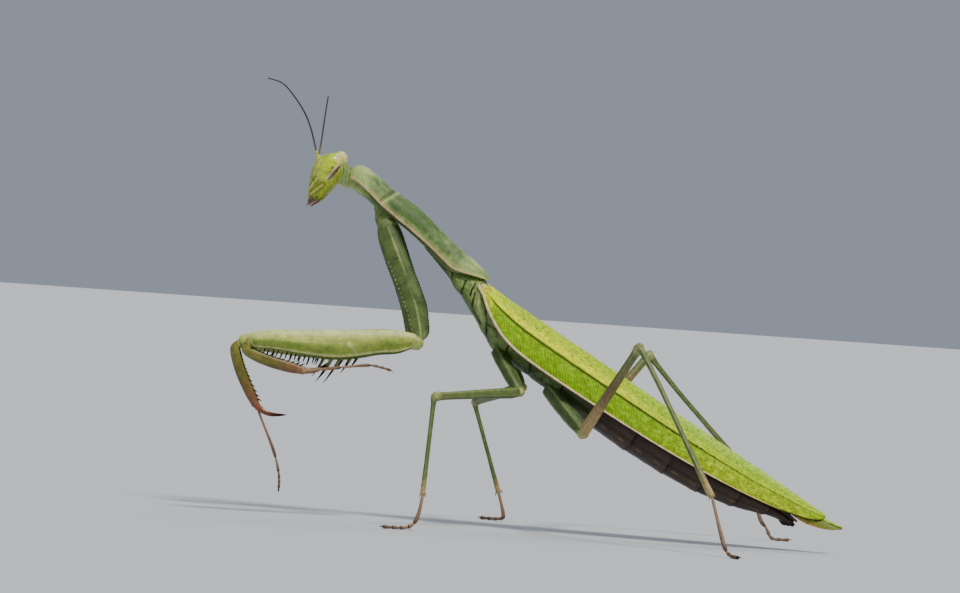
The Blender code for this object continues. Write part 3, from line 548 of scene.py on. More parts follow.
def tube(skin, path, thickness, around=12, look=lambda t, turn: (0.3, 0.0, 0.0), up=Vector((0, 0, 1)),
         caps=True):
    """Rings along a path, thick as thickness(share) says: one half width, or one across and one in depth."""
    lengths = [0.0]
    for a, b in zip(path, path[1:]):
        lengths.append(lengths[-1] + (b - a).length)
    rings, coats = [], []

    def halves(t):
        """Half width across and in depth."""
        half = thickness(t)
        return half if isinstance(half, tuple) else (half, half)

    def ring(centre, run, t, scale):
        """One ring, square to the run."""
        side = run.cross(up).normalized()
        dorsal = side.cross(run)
        wide, deep = halves(t)
        rings.append([centre + side * (wide * MM * scale * cos(turn))
                      + dorsal * (deep * MM * scale * sin(turn)) for turn in circle(around)])
        coats.append([look(t, turn) for turn in circle(around)])

    def cap(centre, run, t, outwards):
        """Rounds an end; outwards is -1 at the start and 1 at the end."""
        reach = 0.7 * min(halves(t)) * MM
        for angle in CAP_ANGLES[::outwards]:
            ring(centre + run * (outwards * reach * sin(radians(angle))), run, t, cos(radians(angle)))

    last = len(path) - 1
    if caps:
        cap(path[0], (path[1] - path[0]).normalized(), 0.0, -1)
    for i, centre in enumerate(path):
        run = (path[min(i + 1, last)] - path[max(i - 1, 0)]).normalized()
        ring(centre, run, lengths[i] / lengths[-1], 1.0)
    if caps:
        cap(path[-1], (path[-1] - path[-2]).normalized(), 1.0, 1)
    skin.wrap(rings, coats)


def smooth_path(points, per_span):
    """A Catmull-Rom curve through a few points."""
    return [Vector(row) for row in smooth_rows([tuple(p) for p in points], per_span)]


def path_length(path):
    """Length along a path, in mm."""
    return round(sum((b - a).length for a, b in zip(path, path[1:])) / MM, 1)


CERCUS = [(40.6, 1.2, -1.85), (42.0, 1.6, -1.8), (43.8, 1.5, -1.95)]
CERCUS_JOINTS = 8
# the valves: where each lump lies in the trunk's frame, and its size
VALVES = [((42.6, 0.3, -3.12), 0.42), ((43.1, 0.22, -3.0), 0.34), ((43.5, 0.34, -2.8), 0.3)]
for side, word in SIDES:
    cercus = Skin()
    path = smooth_path(placed(TRUNK, side, *CERCUS), 20)
    tube(cercus, path, lambda t: 0.27 * (1 - 0.5 * t) * (1 + 0.12 * sin(2 * pi * CERCUS_JOINTS * t)),
         look=lambda t, turn: (0.1, 0.2 * t, 0.5))
    for spot, size in VALVES:
        centre, = placed(TRUNK, side, spot)
        cercus.bead(centre, 0.85 * size * MM, (0.0, 0.1, 0.6), (1.5, 0.7, 0.8), TRUNK.to_3x3(), 0.3)
    cercus.finish("cercus_" + word + "_beads", BELLY, "abdomen_cuticle", "cercus_" + word)
print("cercus length, mm:", path_length(path))

# %% [markdown]
# ## Wings
# The forewings, or tegmina, are leathery covers folded one over the other, the left on top here. A thick
# rim runs along the front margin. A strong vein, the radius, follows the fold where the wing turns down
# over the flank. The strip below it is crossed by close slanting veins, and the back above it is a net of
# small cells. The veins could be a bump in the material, but that would leave the outline and the exported
# mesh smooth. So they are real relief on a dense grid, with about 0.06 mm between points along the wing and
# 0.09 mm across.

# %% The shape of a folded forewing
# along, height of the wing's ridge over the trunk's origin
RIDGE = [(-1.0, 0.55), (-0.4, 0.42), (10.0, 0.38), (25.0, 0.37), (38.0, 0.38), (46.2, 0.3), (49.0, 0.2)]
# along, half width at the radius vein, its depth, half width at the front margin, its depth
TEGMEN = [(-0.6, 1.1, 0.32, 1.4, 0.5), (0.0, 1.4, 0.38, 1.85, 0.75), (2.0, 2.4, 0.85, 3.1, 2.0),
          (5.0, 3.0, 1.25, 3.8, 3.3), (9.0, 3.3, 1.4, 4.15, 3.8), (18.0, 3.4, 1.4, 4.3, 3.75),
          (28.0, 3.3, 1.3, 4.15, 3.4), (36.0, 2.7, 1.1, 3.5, 2.8), (41.5, 1.7, 0.75, 2.3, 2.1),
          (44.0, 1.05, 0.5, 1.4, 1.6), (45.3, 0.72, 0.3, 0.97, 1.2), (45.9, 0.5, 0.22, 0.68, 0.8),
          (46.2, 0.25, 0.12, 0.34, 0.4)]
# along, how far the right wing lies under the left one
TUCK = [(0.0, 0.3), (39.0, 0.3), (46.6, 0.36), (48.5, 0.05)]
RADIUS_SHARE = 0.65              # share of the way across at which the radius vein lies
SLANT_VEIN = 0.42                # mm between the slanting veins, along the wing
NET_CELL = 0.36                  # mm along a cell of the net, drawn so that it shows


def wing_point(row, share, side, stretch):
    """A point of a folded forewing; share runs from the inner edge, 0, to the front margin, 1."""
    along, radius_width, radius_drop, margin_width, margin_drop = row
    inner = -0.4 * radius_width
    ridge = read_rows(RIDGE, along)[1]
    if share <= RADIUS_SHARE:
        lateral = inner + (radius_width - inner) * share / RADIUS_SHARE
        height = ridge - radius_drop * min(abs(lateral) / radius_width, 1.0) ** 1.35
    else:
        t = (share - RADIUS_SHARE) / (1 - RADIUS_SHARE)
        lateral = radius_width + (margin_width - radius_width) * sin(t * pi / 2)
        shallow = 1 - 0.4 * (side > 0) * step(41, 45, along)
        height = ridge - radius_drop - (margin_drop - radius_drop) * t * shallow
    if side > 0:
        reach = max(radius_width, 2.0)
        height -= read_rows(TUCK, along * stretch)[1] * (1 - step(0.5 * reach, reach, lateral))
    return Vector((along * stretch, side * lateral, height))


def wing_relief(along, share, width):
    """Height in mm and coats of the veins at a place on the wing; width is mm from radius to margin."""
    out = (share - RADIUS_SHARE) / (1 - RADIUS_SHARE) * width
    strip = step(0.05, 0.25, out)
    bend = 1.25 * out - 0.12 * out * out + 0.16 * grain(along * 0.6, out * 1.2)
    phase = (along - bend) / SLANT_VEIN
    slant = hump((phase % 1.0) - 0.5, 0.15) * strip
    slant *= 0.65 + 0.5 * grain(phase * 1.7, out * 0.6, 5)
    rungs = hump(((out + 0.5 * along) / 0.3 + 0.5 * grain(along, out * 3)) % 1.0 - 0.5, 0.14) * strip
    lumps = step(0.0, 0.5, cells(along * 1.5, share * 6)) * (1 - step(0.6, 2.4, along))
    lumps *= 1 - step(0.75, 0.92, share)
    radius_line = hump(share - 0.618, 0.014)
    dark_line = hump(share - 0.652, 0.023 * (1 - 0.5 * step(26, 44, along))) * step(-1.0, 2.0, along)
    dark_line *= 1 - 0.55 * step(26, 40, along)
    front = 1 - step(12, 30, along)
    lines = sum(hump(share - at, 0.006) * (0.3 + 0.7 * front) for at in (0.585, 0.55, 0.512))
    inner_lines = sum(hump(share - at, 0.005) for at in (0.16, 0.24, 0.33, 0.42))
    far = step(20, 32, along)
    wall = cells(along / NET_CELL + 0.3 * grain(along, share * 9), share * 19)
    net = hump(wall, 0.16) * max(1 - step(0.54, 0.6, share), far * strip)
    slant, rungs = slant * (1 - 0.75 * far), rungs * (1 - far)
    band = hump(share - 0.55, 0.075) * (0.35 + 0.65 * front) * (0.62 + 0.38 * net)
    back = 1 - step(0.25, 0.5, share + 0.25 * front)
    extra = 0.04 * slant + 0.01 * rungs + 0.1 * radius_line - 0.05 * dark_line + 0.045 * lines + 0.12 * lumps
    extra += 0.035 * net + 0.03 * inner_lines + 0.03 * grain(along * 0.9, share * 14)
    yellow = radius_line + 0.5 * lines + 0.5 * slant + 0.15 * rungs + 0.3 * inner_lines + 0.9 * band
    yellow += 0.6 * (1 - step(0.5, 3.0, along))
    yellow += 0.35 * front * (1 - back) * (share < 0.62) + 0.2 * net + 0.3 * strip * step(20, 36, along)
    tone = back * (0.6 + 0.4 * net) + 0.15 * step(14, 34, along) + 0.25 * grain(along * 0.4, share * 5, 6)
    pits = step(0.05, 0.4, grain(along * 2.6, share * 26, 3)) * (1 - net) * max(share < 0.58, far)
    dark = dark_line + 0.3 * strip * (1 - slant) * step(0.1, 0.5, grain(along * 1.1, out * 2.2, 8) + 0.35)
    spot = hump(Vector((along - 7.3, 25 * (share - 0.45))).length, 0.35)
    dark += (0.42 + 0.15 * front) * pits + 0.55 * spot
    calm = (1 - step(42.5, 45.0, along)) * step(0.0, 0.05, share)
    return extra * calm, tone, yellow, dark


# %% [markdown]
# ### Wing membrane
# The cover is thin, tough and slightly see-through, closer to a young leaf than to shell, so its material
# lets some light pass under the surface and has almost no shine. Tone leads to the paler green of the back,
# mark to the yellow of the veins and dark to the shadowed green between them. The rim is thicker and
# harder, like a pale horn cord, and takes a soft sheen. It is a tube of its own, from the hinge's small
# plates to round the tip.

# %% Wing finishes and the sheet that both wings are made of
# a leathery leaf-like membrane: matt, with a little light coming through
WING = cuticle("wing_cover", "#7CB410", "#AED650", "#E6F20C", "#2A3208", 0.62, 0.5, 0.016,
               depth=0.1, shine=0.08)
# pale horn: smooth, with a soft sheen along its length; its dark colour paints shade
WING_RIM = cuticle("wing_rim", "#F0D29A", "#D9D03A", "#F6E3B0", "#2C1A10", 0.5, 0.6, 0.012, shine=0.3)


def lay_sheet(rows_of_points, coats, thickness):
    """A thin closed sheet: each ring runs out along the outer side and back along the inner."""
    rings, looks = [], []
    last = len(rows_of_points) - 1
    for i, row in enumerate(rows_of_points):
        ahead, behind = rows_of_points[min(i + 1, last)], rows_of_points[max(i - 1, 0)]
        under = []
        for j, point in enumerate(row):
            across = row[min(j + 1, len(row) - 1)] - row[max(j - 1, 0)]
            normal = (ahead[j] - behind[j]).cross(across).normalized()
            outwards = Vector((0, point.y, point.z + 4))
            under.append(point - normal * (thickness if normal.dot(outwards) > 0 else -thickness))
        rings.append([*row, *under[::-1]])
        looks.append([*coats[i], *coats[i][::-1]])
    skin = Skin()
    skin.wrap([[TRUNK @ (p * MM) for p in ring] for ring in rings], looks)
    return skin


print("wing finishes:", WING.name, "and", WING_RIM.name)

# %% Laying the two forewings, with their rims and hinges
WING_START, WING_SPAN = -0.6, 46.8          # mm along the trunk
WING_THICKNESS = 0.16
RIGHT_REACH = 1.05               # the right wing is this many times as long as the left
ALONG, ACROSS = ((800, 84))
RIM_TIP = {"left": (0.85, 0.65, 0.5, 0.38), "right": (0.95, 0.9)}    # shares it passes round the tip
# the small plates of the hinge: place in mm, radius in mm, flattening and coat
HINGE_PLATES = [((-0.58, 1.28, -0.24), 0.3, (0.9, 0.8, 1.1), (0.3, 0.5, 0.0)),
                ((-0.35, 1.0, 0.08), 0.38, (1.1, 0.9, 0.7), (0.7, 0.2, 0.0)),
                ((0.12, 1.36, -0.14), 0.42, (1.3, 0.8, 0.5), (0.95, 0.0, 0.0)),
                ((0.25, 0.8, 0.16), 0.44, (1.3, 1.0, 0.4), (0.8, 0.0, 0.3)),
                ((-0.35, 0.5, 0.24), 0.4, (1.0, 1.0, 0.5), (0.6, 0.2, 0.1))]


def rim_size(t):
    """Half width and depth of the rim, which thins along the wing and fades out at its end."""
    fade = 1 - 0.8 * step(0.965, 1.0, t)
    deep = 0.13 * (1 - t) ** 1.3 + (0.055 + 0.02 * step(0.85, 0.9, t)) * fade
    return 0.1 * (1 - t) ** 0.5 + 0.035 * fade, deep


def rim_look(t, turn):
    """Pale horn, yellower at both ends, with painted shade below and a painted shadow line at the tip."""
    tone = 0.6 * step(0.6, 0.85, t) + 0.5 * (1 - step(0.02, 0.12, t))
    # dark: painted shade on the under side, and at the tip the painted shadow that the cover's edge casts on
    # the wing below
    return tone, 0.5 * (1 - t), max(0.75 * step(0.1, 0.8, -sin(turn)), step(0.83, 0.9, t))


for side, word in SIDES:
    stretch = RIGHT_REACH if side > 0 else 1.0
    rows = smooth_rows(TEGMEN, 24)
    points, coats, edge = [], [], []
    for i in range(ALONG + 1):
        place = WING_START + WING_SPAN * i / ALONG
        row = read_rows(rows, place)
        width = max(Vector((row[3] - row[1], row[4] - row[2])).length * 1.1, 0.3)
        line, looks = [], []
        for j in range(ACROSS + 1):
            share = j / ACROSS
            point = wing_point(row, share, side, stretch)
            extra, *look = wing_relief(place, share, width)
            line.append(point + Vector((0, side * share, 1.2 - share)).normalized() * (extra - 0.05))
            looks.append(tuple(look))
        points.append(line)
        coats.append(looks)
        edge.append(TRUNK @ (wing_point(row, 1.0, side, stretch) * MM))
    tip = [TRUNK @ (wing_point(row, share, side, stretch) * MM) for share in RIM_TIP[word]]
    cover = lay_sheet(points, coats, WING_THICKNESS)
    cover.finish("tegmen_cover_" + word, WING, "tegmen_membrane", "tegmen_" + word)
    rim = Skin()
    root = placed(TRUNK, side, (-0.85, 1.25, 0.0), (-0.6, 1.5, -0.2))
    tube(rim, smooth_path(root + edge[16::20] + tip, 4), rim_size, look=rim_look)
    rim.finish("tegmen_rim_" + word, WING_RIM, "tegmen_membrane")
    hinge = Skin()
    for spot, radius, squash, coat in HINGE_PLATES:
        hinge.bead(placed(TRUNK, side, spot)[0], radius * MM, coat, squash, TRUNK.to_3x3(), 0.3)
    hinge.finish("wing_hinge_" + word, WING_RIM, "tegmen_membrane")
print("forewing grid:", ALONG, "by", ACROSS)

# %% [markdown]
# ### The hindwings
# Below the covers the hindwings are folded like fans, and only their edges and tips show. Modelling each
# fold of a real fan would be wasted under the covers. A fan's folds run lengthwise, so one sheet is pleated
# across, with its free margin tinted orange-yellow. The membrane is thinner than the cover and as dull as
# dry paper.

# %% Pleated hindwings
# along, half width, height of the inner line, height of the free margin
HINDWING = [(3.0, 1.2, -0.75, -1.3), (6.0, 2.0, -0.6, -1.6), (10.0, 2.3, -0.5, -1.6), (17.0, 2.4, -0.5, -1.6),
            (25.0, 2.4, -0.5, -1.6), (33.0, 2.2, -0.5, -1.6), (38.0, 1.7, -0.4, -1.5),
            (42.0, 1.2, -0.35, -1.7), (44.4, 0.95, -0.2, -1.75), (46.1, 0.8, -0.25, -1.38),
            (47.4, 0.55, -0.2, -0.85), (48.2, 0.3, -0.1, -0.35), (48.5, 0.1, 0.0, -0.05)]
PLEATS = 5
FAN_STEPS = 48                   # steps across the fan
FAN_THICKNESS = 0.1
# a thin dry membrane: dull, and a little light comes through it
FAN = cuticle("hindwing_fan", "#6C7A20", "#8C9A38", "#D08A2C", "#3E3A12", 0.55, 1.0, 0.012,
              depth=0.08, shine=0.25)
for side, word in SIDES:
    points, coats = [], []
    for along, half_width, top, low in smooth_rows(HINDWING, 24):
        line, looks = [], []
        for j in range(FAN_STEPS + 1):
            share = j / FAN_STEPS
            pleat = 0.05 * sin(2 * pi * PLEATS * share) * min(half_width, 1.0)
            pleat *= 1 - 0.8 * step(42, 45, along)
            net = hump(cells(along / 0.3, share * 8), 0.16)
            height = top + (low - top) * share ** 1.35 + pleat + 0.02 * net * min(half_width, 1.0)
            line.append(Vector((along, side * (0.05 + (half_width - 0.05) * sin(share * pi / 2)), height)))
            margin = step(0.86, 0.97, share + 0.08 * grain(along * 3, share * 4))
            # painted shade along the pleats' folds, and dark dots along the orange margin
            pleat_shade_and_dots = 0.45 * hump(sin(pi * PLEATS * share), 0.25) + 0.5 * step(0.6, 1, sin(along * 9)) * margin
            looks.append((0.4 + 0.5 * net, margin, pleat_shade_and_dots))
        points.append(line)
        coats.append(looks)
    fan = lay_sheet(points, coats, FAN_THICKNESS)
    fan.finish("hindwing_fan_" + word, FAN, "hindwing_membrane", "hindwing_" + word)
print("pleats in each hindwing:", PLEATS)

# %% [markdown]
# ## Head
# A mantis's head is a rounded triangle that can turn on the neck: a broad crown between two bulging eyes, a
# face plate with the feelers' roots and three simple eyes, and the mouth at its lowest corner. The capsule
# is lofted level by level. Its relief adds the ridge round each eye, the seams of the face and the cheeks.

# %% Head capsule
# height, reach to the front, reach to the back, half width
HEAD_LEVELS = [(-2.7, -0.95, 0.8, 0.68), (-2.45, -1.05, 0.95, 0.8), (-1.4, -1.5, 1.15, 1.15),
               (-0.4, -1.85, 1.4, 1.6), (0.5, -2.05, 1.45, 1.95), (1.4, -1.95, 1.3, 2.0),
               (2.2, -1.45, 1.05, 1.8), (2.75, -0.85, 0.7, 1.3), (2.98, -0.35, 0.3, 0.7),
               (3.04, -0.1, 0.08, 0.25)]
HEAD_SIDES = 128
SIMPLE_EYES = [(-1.56, 0.0, 1.94), (-1.34, 0.28, 2.14), (-1.34, -0.28, 2.14)]
EYE_AT, EYE_RADII = (-0.14, 1.88, 1.48), (1.06, 1.35, 1.8)
EYE_LEAN, EYE_TILT = 12.0, 6.0   # degrees, outwards and back
# each ridge: (front, height) of its two ends on the cheek, and how strong it is
CHEEK_RIDGES = [((-0.75, -0.45), (-1.05, -2.5), 1.0), ((0.15, -0.75), (-0.55, -2.5), 0.8),
                ((-1.5, 1.5), (-1.35, -0.4), 0.7)]


def eye_turn(side):
    """How an eye is turned in the head."""
    return Matrix.Rotation(radians(EYE_TILT), 3, "Y") @ Matrix.Rotation(radians(-side * EYE_LEAN), 3, "X")


def eye_nearness(spot):
    """1 on the surface of the nearer eye, more outside it."""
    side = 1 if spot.y > 0 else -1
    centre = Vector((EYE_AT[0], side * EYE_AT[1], EYE_AT[2]))
    local = eye_turn(side).inverted() @ (spot - centre)
    return Vector([a / b for a, b in zip(local, EYE_RADII)]).length


def head_relief(spot, turn):
    """Rims of the eyes, ridges of the cheeks, seams of the face and grooves of the crown, with painted shade
    in the valleys between the cheek ridges.
    """
    height = spot.z
    face = step(0.0, 0.7, -cos(turn))
    rim = hump(eye_nearness(spot) - 1.07, 0.05)
    seam = hump(height + 1.25 + 0.5 * cos(turn), 0.08) * face
    ridge = max(strength * hump(line_distance(spot.x, spot.z, a, b), 0.1) for a, b, strength in CHEEK_RIDGES)
    ridge *= step(0.3, 0.6, abs(sin(turn)))
    valley = max(hump(line_distance(spot.x, spot.z, a, b) - 0.27, 0.12) for a, b, _ in CHEEK_RIDGES[:2])
    crown = hump(abs(sin(turn)) - 0.45, 0.06) * step(1.9, 2.4, height)
    shield = hump(height - 0.4, 0.14) * face * (abs(sin(turn)) < 0.55)
    extra = 0.09 * rim - 0.06 * seam + 0.12 * ridge - 0.04 * valley - 0.05 * crown + 0.07 * shield
    extra += 0.02 * grain(height * 2, turn * 3)
    rear = step(0.2, 0.9, cos(turn))
    tone = (0.3 + 0.35 * grain(height * 1.2, turn * 2) + 0.35 * rear * (1 - step(1.5, 2.5, height))
            + 0.1 * (height < -0.4))
    # dark: face seam and crown grooves, painted shade in the valleys between the cheek ridges, and darker low
    # at the back
    dark = 0.5 * seam + 0.2 * crown + 0.5 * valley * (height < -0.3) + 0.2 * rear * step(0.2, 1.2, -height)
    return extra, tone, 0.7 * rim + 0.8 * ridge + 0.4 * shield + 0.35 * step(2.5, 2.9, height), dark


head = Skin()
rings, coats = [], []
for height, front, back, half_width in smooth_rows(HEAD_LEVELS, 14):
    ring, coat = [], []
    for turn in circle(HEAD_SIDES):
        reach = back if cos(turn) > 0 else -front
        extra, *look = head_relief(Vector((reach * cos(turn), half_width * sin(turn), height)), turn)
        ring.append(HEAD @ mm((reach + extra) * cos(turn), (half_width + extra) * sin(turn), height))
        coat.append(tuple(look))
    rings.append(ring)
    coats.append(coat)
head.wrap(rings, coats)
for centre in placed(HEAD, 1, *SIMPLE_EYES):
    head.bead(centre, 0.13 * MM, (0.3, 0.3, 0.1))
head.finish("head_capsule", HEAD_SHELL, "head_cuticle", "head")
print("head points:", len(head.points))

# %% [markdown]
# ### Compound eyes
# Each eye is a smooth dome of thousands of facets, far too fine to see apart here, so the surface stays
# glossy with the faintest grain. It takes the head's yellow-green, with a dark slit, a pale band, a small
# dark spot, the false pupil, and an olive-brown patch towards the back that is painted shade on the rear of
# the eye. The markings could be painted on the dome by hand. Here each is worked out from the place on it,
# so that the two eyes match as mirror images. The head's own raised rim seats the dome.

# %% Eyes
EYE_RINGS, EYE_SIDES = 130, 200


def eye_coat(spot, unit):
    """Markings at a spot of the head's frame, in mm; unit is the same spot on a ball of radius 1."""
    off = spot.x - (0.1 + 0.14 * (spot.z + 0.11))       # how far behind the slit
    taper = step(-0.5, 1.6, spot.z)
    slit = 0.6 * hump(off + 0.01, 0.03 + 0.02 * taper) * step(0.2, 1.2, spot.z)
    slit *= 1 - step(1.85, 2.05, spot.z)
    band = hump(off - 0.15 - 0.08 * taper, 0.06 + 0.08 * taper)
    # painted shade: an olive-brown patch over the back of the eye, which is turned from the light
    rear_shade = step(0.2 + 0.09 * taper, 0.26 + 0.1 * taper, off) * (1 - step(2.0, 2.5, spot.z - 0.2 * off))
    rear_shade *= step(-0.5, 0.0, spot.z) * (1 - 0.8 * step(0.94, 0.99, unit.x))
    pupil = hump(Vector((off + 0.04, spot.z - 1.72)).length, 0.1)
    pupil += 0.8 * hump(spot.z - 2.35, 0.04) * step(0.05, 0.2, spot.x) * (1 - step(0.5, 0.65, spot.x))
    rim = step(2.45, 2.95, spot.z) * step(-0.4, 0.1, spot.x)
    edge = hump(off - 0.29 - 0.11 * taper, 0.03) * step(-0.3, 0.2, spot.z)
    return rear_shade, max(band * (1 - slit), 0.7 * rim), slit + pupil + 0.5 * edge * rear_shade


for side, word in SIDES:
    lean = eye_turn(side)
    eye, rings, coats = Skin(), [], []
    for i in range(1, EYE_RINGS):
        low, reach = -cos(pi * i / EYE_RINGS), sin(pi * i / EYE_RINGS)
        ring, coat = [], []
        for turn in circle(EYE_SIDES):
            unit = Vector((cos(turn) * reach, sin(turn) * reach, low))
            spot = lean @ Vector([a * b for a, b in zip(unit, EYE_RADII)])
            spot += Vector((EYE_AT[0], side * EYE_AT[1], EYE_AT[2]))
            ring.append(HEAD @ (spot * MM))
            coat.append(eye_coat(spot, unit))
        rings.append(ring)
        coats.append(coat)
    eye.wrap(rings, coats)
    eye.finish("compound_eye_" + word, EYE_SHELL, "eye", "eye_" + word)
print("eye height, mm:", 2 * EYE_RADII[2])

# %% [markdown]
# ### Mouthparts
# Below the face hang the upper lip, the two jaws and two pairs of palps, the little jointed fingers that
# handle food. Each is a short tube of its own, so that the mouth looks made of parts and not carved from
# one block.

# %% Lip, jaws and palps
def joints(skin, path, radius, lengths, look):
    """A jointed limb: each joint narrows at its root and swells at its end."""
    total, start = sum(lengths), 0.0
    for n, length in enumerate(lengths):
        low, high = start / total, (start + length) / total
        start += length
        count = max(14, int(len(path) * (high - low)))
        part = []
        for i in range(count + 1):
            place = (low + (high - low) * (0.5 - 0.5 * cos(pi * i / count))) * (len(path) - 1)
            k = min(int(place), len(path) - 2)
            part.append(path[k].lerp(path[k + 1], place - k))
        wide = radius(low)

        def swelling(t):
            """Half width of this joint, rounded at both ends."""
            return wide * (0.78 + 0.3 * step(0.3, 0.9, t)) * sqrt(max(1 - (2 * t - 1) ** 12, 0.12))

        tube(skin, part, swelling, around=16, look=lambda t, turn: look(n, t), caps=False)


LIP = [(-0.9, 0, -2.1), (-0.62, 0, -2.75), (-0.4, 0, -3.3)]
JAW = [(0.0, 0.45, -1.9), (-0.3, 0.56, -2.75), (-0.36, 0.3, -3.4)]
PALP = [(0.3, 0.85, -2.4), (0.1, 1.0, -3.0), (-0.15, 0.95, -3.45), (-0.3, 0.8, -3.85)]
lip = Skin()
tube(lip, smooth_path(placed(HEAD, 1, *LIP), 10),
     lambda t: (0.6 * (1 - 0.3 * t ** 2), 0.28 * (1 - 0.4 * t)), around=24,
     look=lambda t, turn: (0.4, 0.6 * t, 0.1),
     up=HEAD.to_3x3() @ Vector((-1, 0, 0)))
lip.finish("upper_lip", HEAD_SHELL, "mouth", "mouthparts")
for side, word in SIDES:
    jaw = Skin()
    tube(jaw, smooth_path(placed(HEAD, side, *JAW), 10),
         lambda t: (0.25 * (1 - 0.5 * t), 0.38 * (1 - 0.6 * t)), around=20,
         look=lambda t, turn: (0.7 * step(0.4, 0.8, t), 0.1, 0.7 * step(0.7, 1.0, t)))
    jaw.finish("jaw_" + word, MOUTH_SHELL, "mouth")
    palp = Skin()
    path = smooth_path(placed(HEAD, side, *PALP), 12)
    for shift in (mm(0, 0, 0), mm(0.45, -side * 0.4, 0.1)):
        tube(palp, [p + (HEAD.to_3x3() @ shift) for p in path],
             lambda t: (0.145 * (1 - 0.25 * t)
                        * (1 - 0.3 * hump(sin(4 * pi * t), 0.25) * step(0.1, 0.2, t))), around=16,
             look=lambda t, turn: (step(0.0, 0.6, t), 0.5 * step(0.6, 1.0, t),
                                   0.5 * hump(sin(4 * pi * t), 0.25)))
    palp.finish("palps_" + word, MOUTH_SHELL, "mouth", "palp_" + word)
print("palp length, mm:", path_length(path))

# %% [markdown]
# ### Feelers
# A feeler starts with two thick green root joints and goes on in scores of tiny rings. Each ring could be a
# bead of its own, but one tube that swells and thins again and again has no gaps between them. The rings
# are drawn longer than real ones, so that they still show as a fine beading.

# %% Feelers
FEELER_ROOT = (-2.15, 0.0, 1.6)
FEELER_RINGS = 60
FEELERS = {
    "left": [(0.25, -0.5, -0.1), (0, -0.55, 0), (-2.1, -1.2, 2.3), (-3.9, -1.8, 3.75), (-6.3, -2.5, 4.95),
             (-7.6, -2.9, 5.25), (-9.0, -3.4, 4.95)],
    "right": [(0.25, 0.5, -0.1), (0, 0.55, 0), (-0.95, 2.5, 1.5), (-2.1, 4.9, 3.2), (-3.5, 7.7, 5.4)],
}
for word, points in FEELERS.items():
    feeler = Skin()
    path = smooth_path([HEAD @ (mm(*FEELER_ROOT) + mm(*p)) for p in points], 60)
    tube(feeler, path, lambda t: (0.07 + 0.04 * (1 - t)) * (1 + 0.05 * sin(2 * pi * FEELER_RINGS * t)),
         look=lambda t, turn: (0.8 - step(0.05, 0.3, t), 0.2 * hump(sin(pi * FEELER_RINGS * t), 0.4),
                               0.2 + 0.4 * step(0.2, 0.6, t)))
    feeler.finish("feeler_" + word, FEELER_SHELL, "feeler", "antenna_" + word)
    scape = Skin()
    tube(scape, path[30:30 + len(path) // 8],
         lambda t: 0.2 * (1 - 0.18 * hump(t - 0.62, 0.06)) * (1 - 0.25 * t), around=20,
         look=lambda t, turn: (0.4, 0.4, 0.3 * hump(t - 0.62, 0.05)))
    scape.finish("feeler_root_" + word, HEAD_SHELL, "feeler")
    print(word, "feeler, mm:", path_length(path))

# %% [markdown]
# ## Legs
# Every leg is coxa, trochanter, femur, tibia and tarsus. A segment is given by its length, its heading off
# straight ahead and its slope, one after the other from the root under the trunk, which is how the solids
# were laid out as well. Its thickness follows rows of (share along, half width, half depth, lift of the
# middle line).

# %% Where the legs go
def direction(heading, slope, side):
    """A unit vector from a heading off straight ahead, turning outwards, and a slope."""
    h, s = radians(heading), radians(slope)
    return Vector((-cos(h) * cos(s), side * sin(h) * cos(s), sin(s)))


def steps(start, moves, side):
    """Path from a start through (length, heading, slope) moves."""
    path = [start]
    for length, heading, slope in moves:
        path.append(path[-1] + direction(heading, slope, side) * (length * MM))
    return path


def limb(skin, start, end, rows, across, relief, around, pitch, round_ends):
    """A segment with oval sections; relief(share, out, up) gives extra height in mm and the coats. Pitch is
    the mm between rings, and round_ends the mm over which each end is rounded."""
    length = (end - start).length
    run = (end - start) / length
    dorsal = across.cross(run).normalized()
    lateral = run.cross(dorsal)
    count = max(24, int(length / (pitch * MM)))
    rings, coats = [], []
    for i in range(count + 1):
        share = 0.5 - 0.5 * cos(pi * i / count) if count < 30 else i / count
        _, wide, deep, lift = read_rows(rows, share)
        ends = 1.0
        for room, near in zip(round_ends, (share, 1 - share)):
            reach = near * length / MM / room
            ends *= sqrt(max(1 - (1 - min(reach, 1.0)) ** 2, 0.02))
        centre = start.lerp(end, share) + dorsal * (lift * MM)
        ring, coat = [], []
        for turn in circle(around):
            extra, *look = relief(share, cos(turn), sin(turn))
            out = lateral * ((wide + extra) * ends * cos(turn)) + dorsal * ((deep + extra) * ends * sin(turn))
            ring.append(centre + out * MM)
            coat.append(tuple(look))
        rings.append(ring)
        coats.append(coat)
    skin.wrap(rings, coats)


def sections(*rows):
    """Section rows with the bends between them smoothed."""
    return smooth_rows(rows, per_span=6)


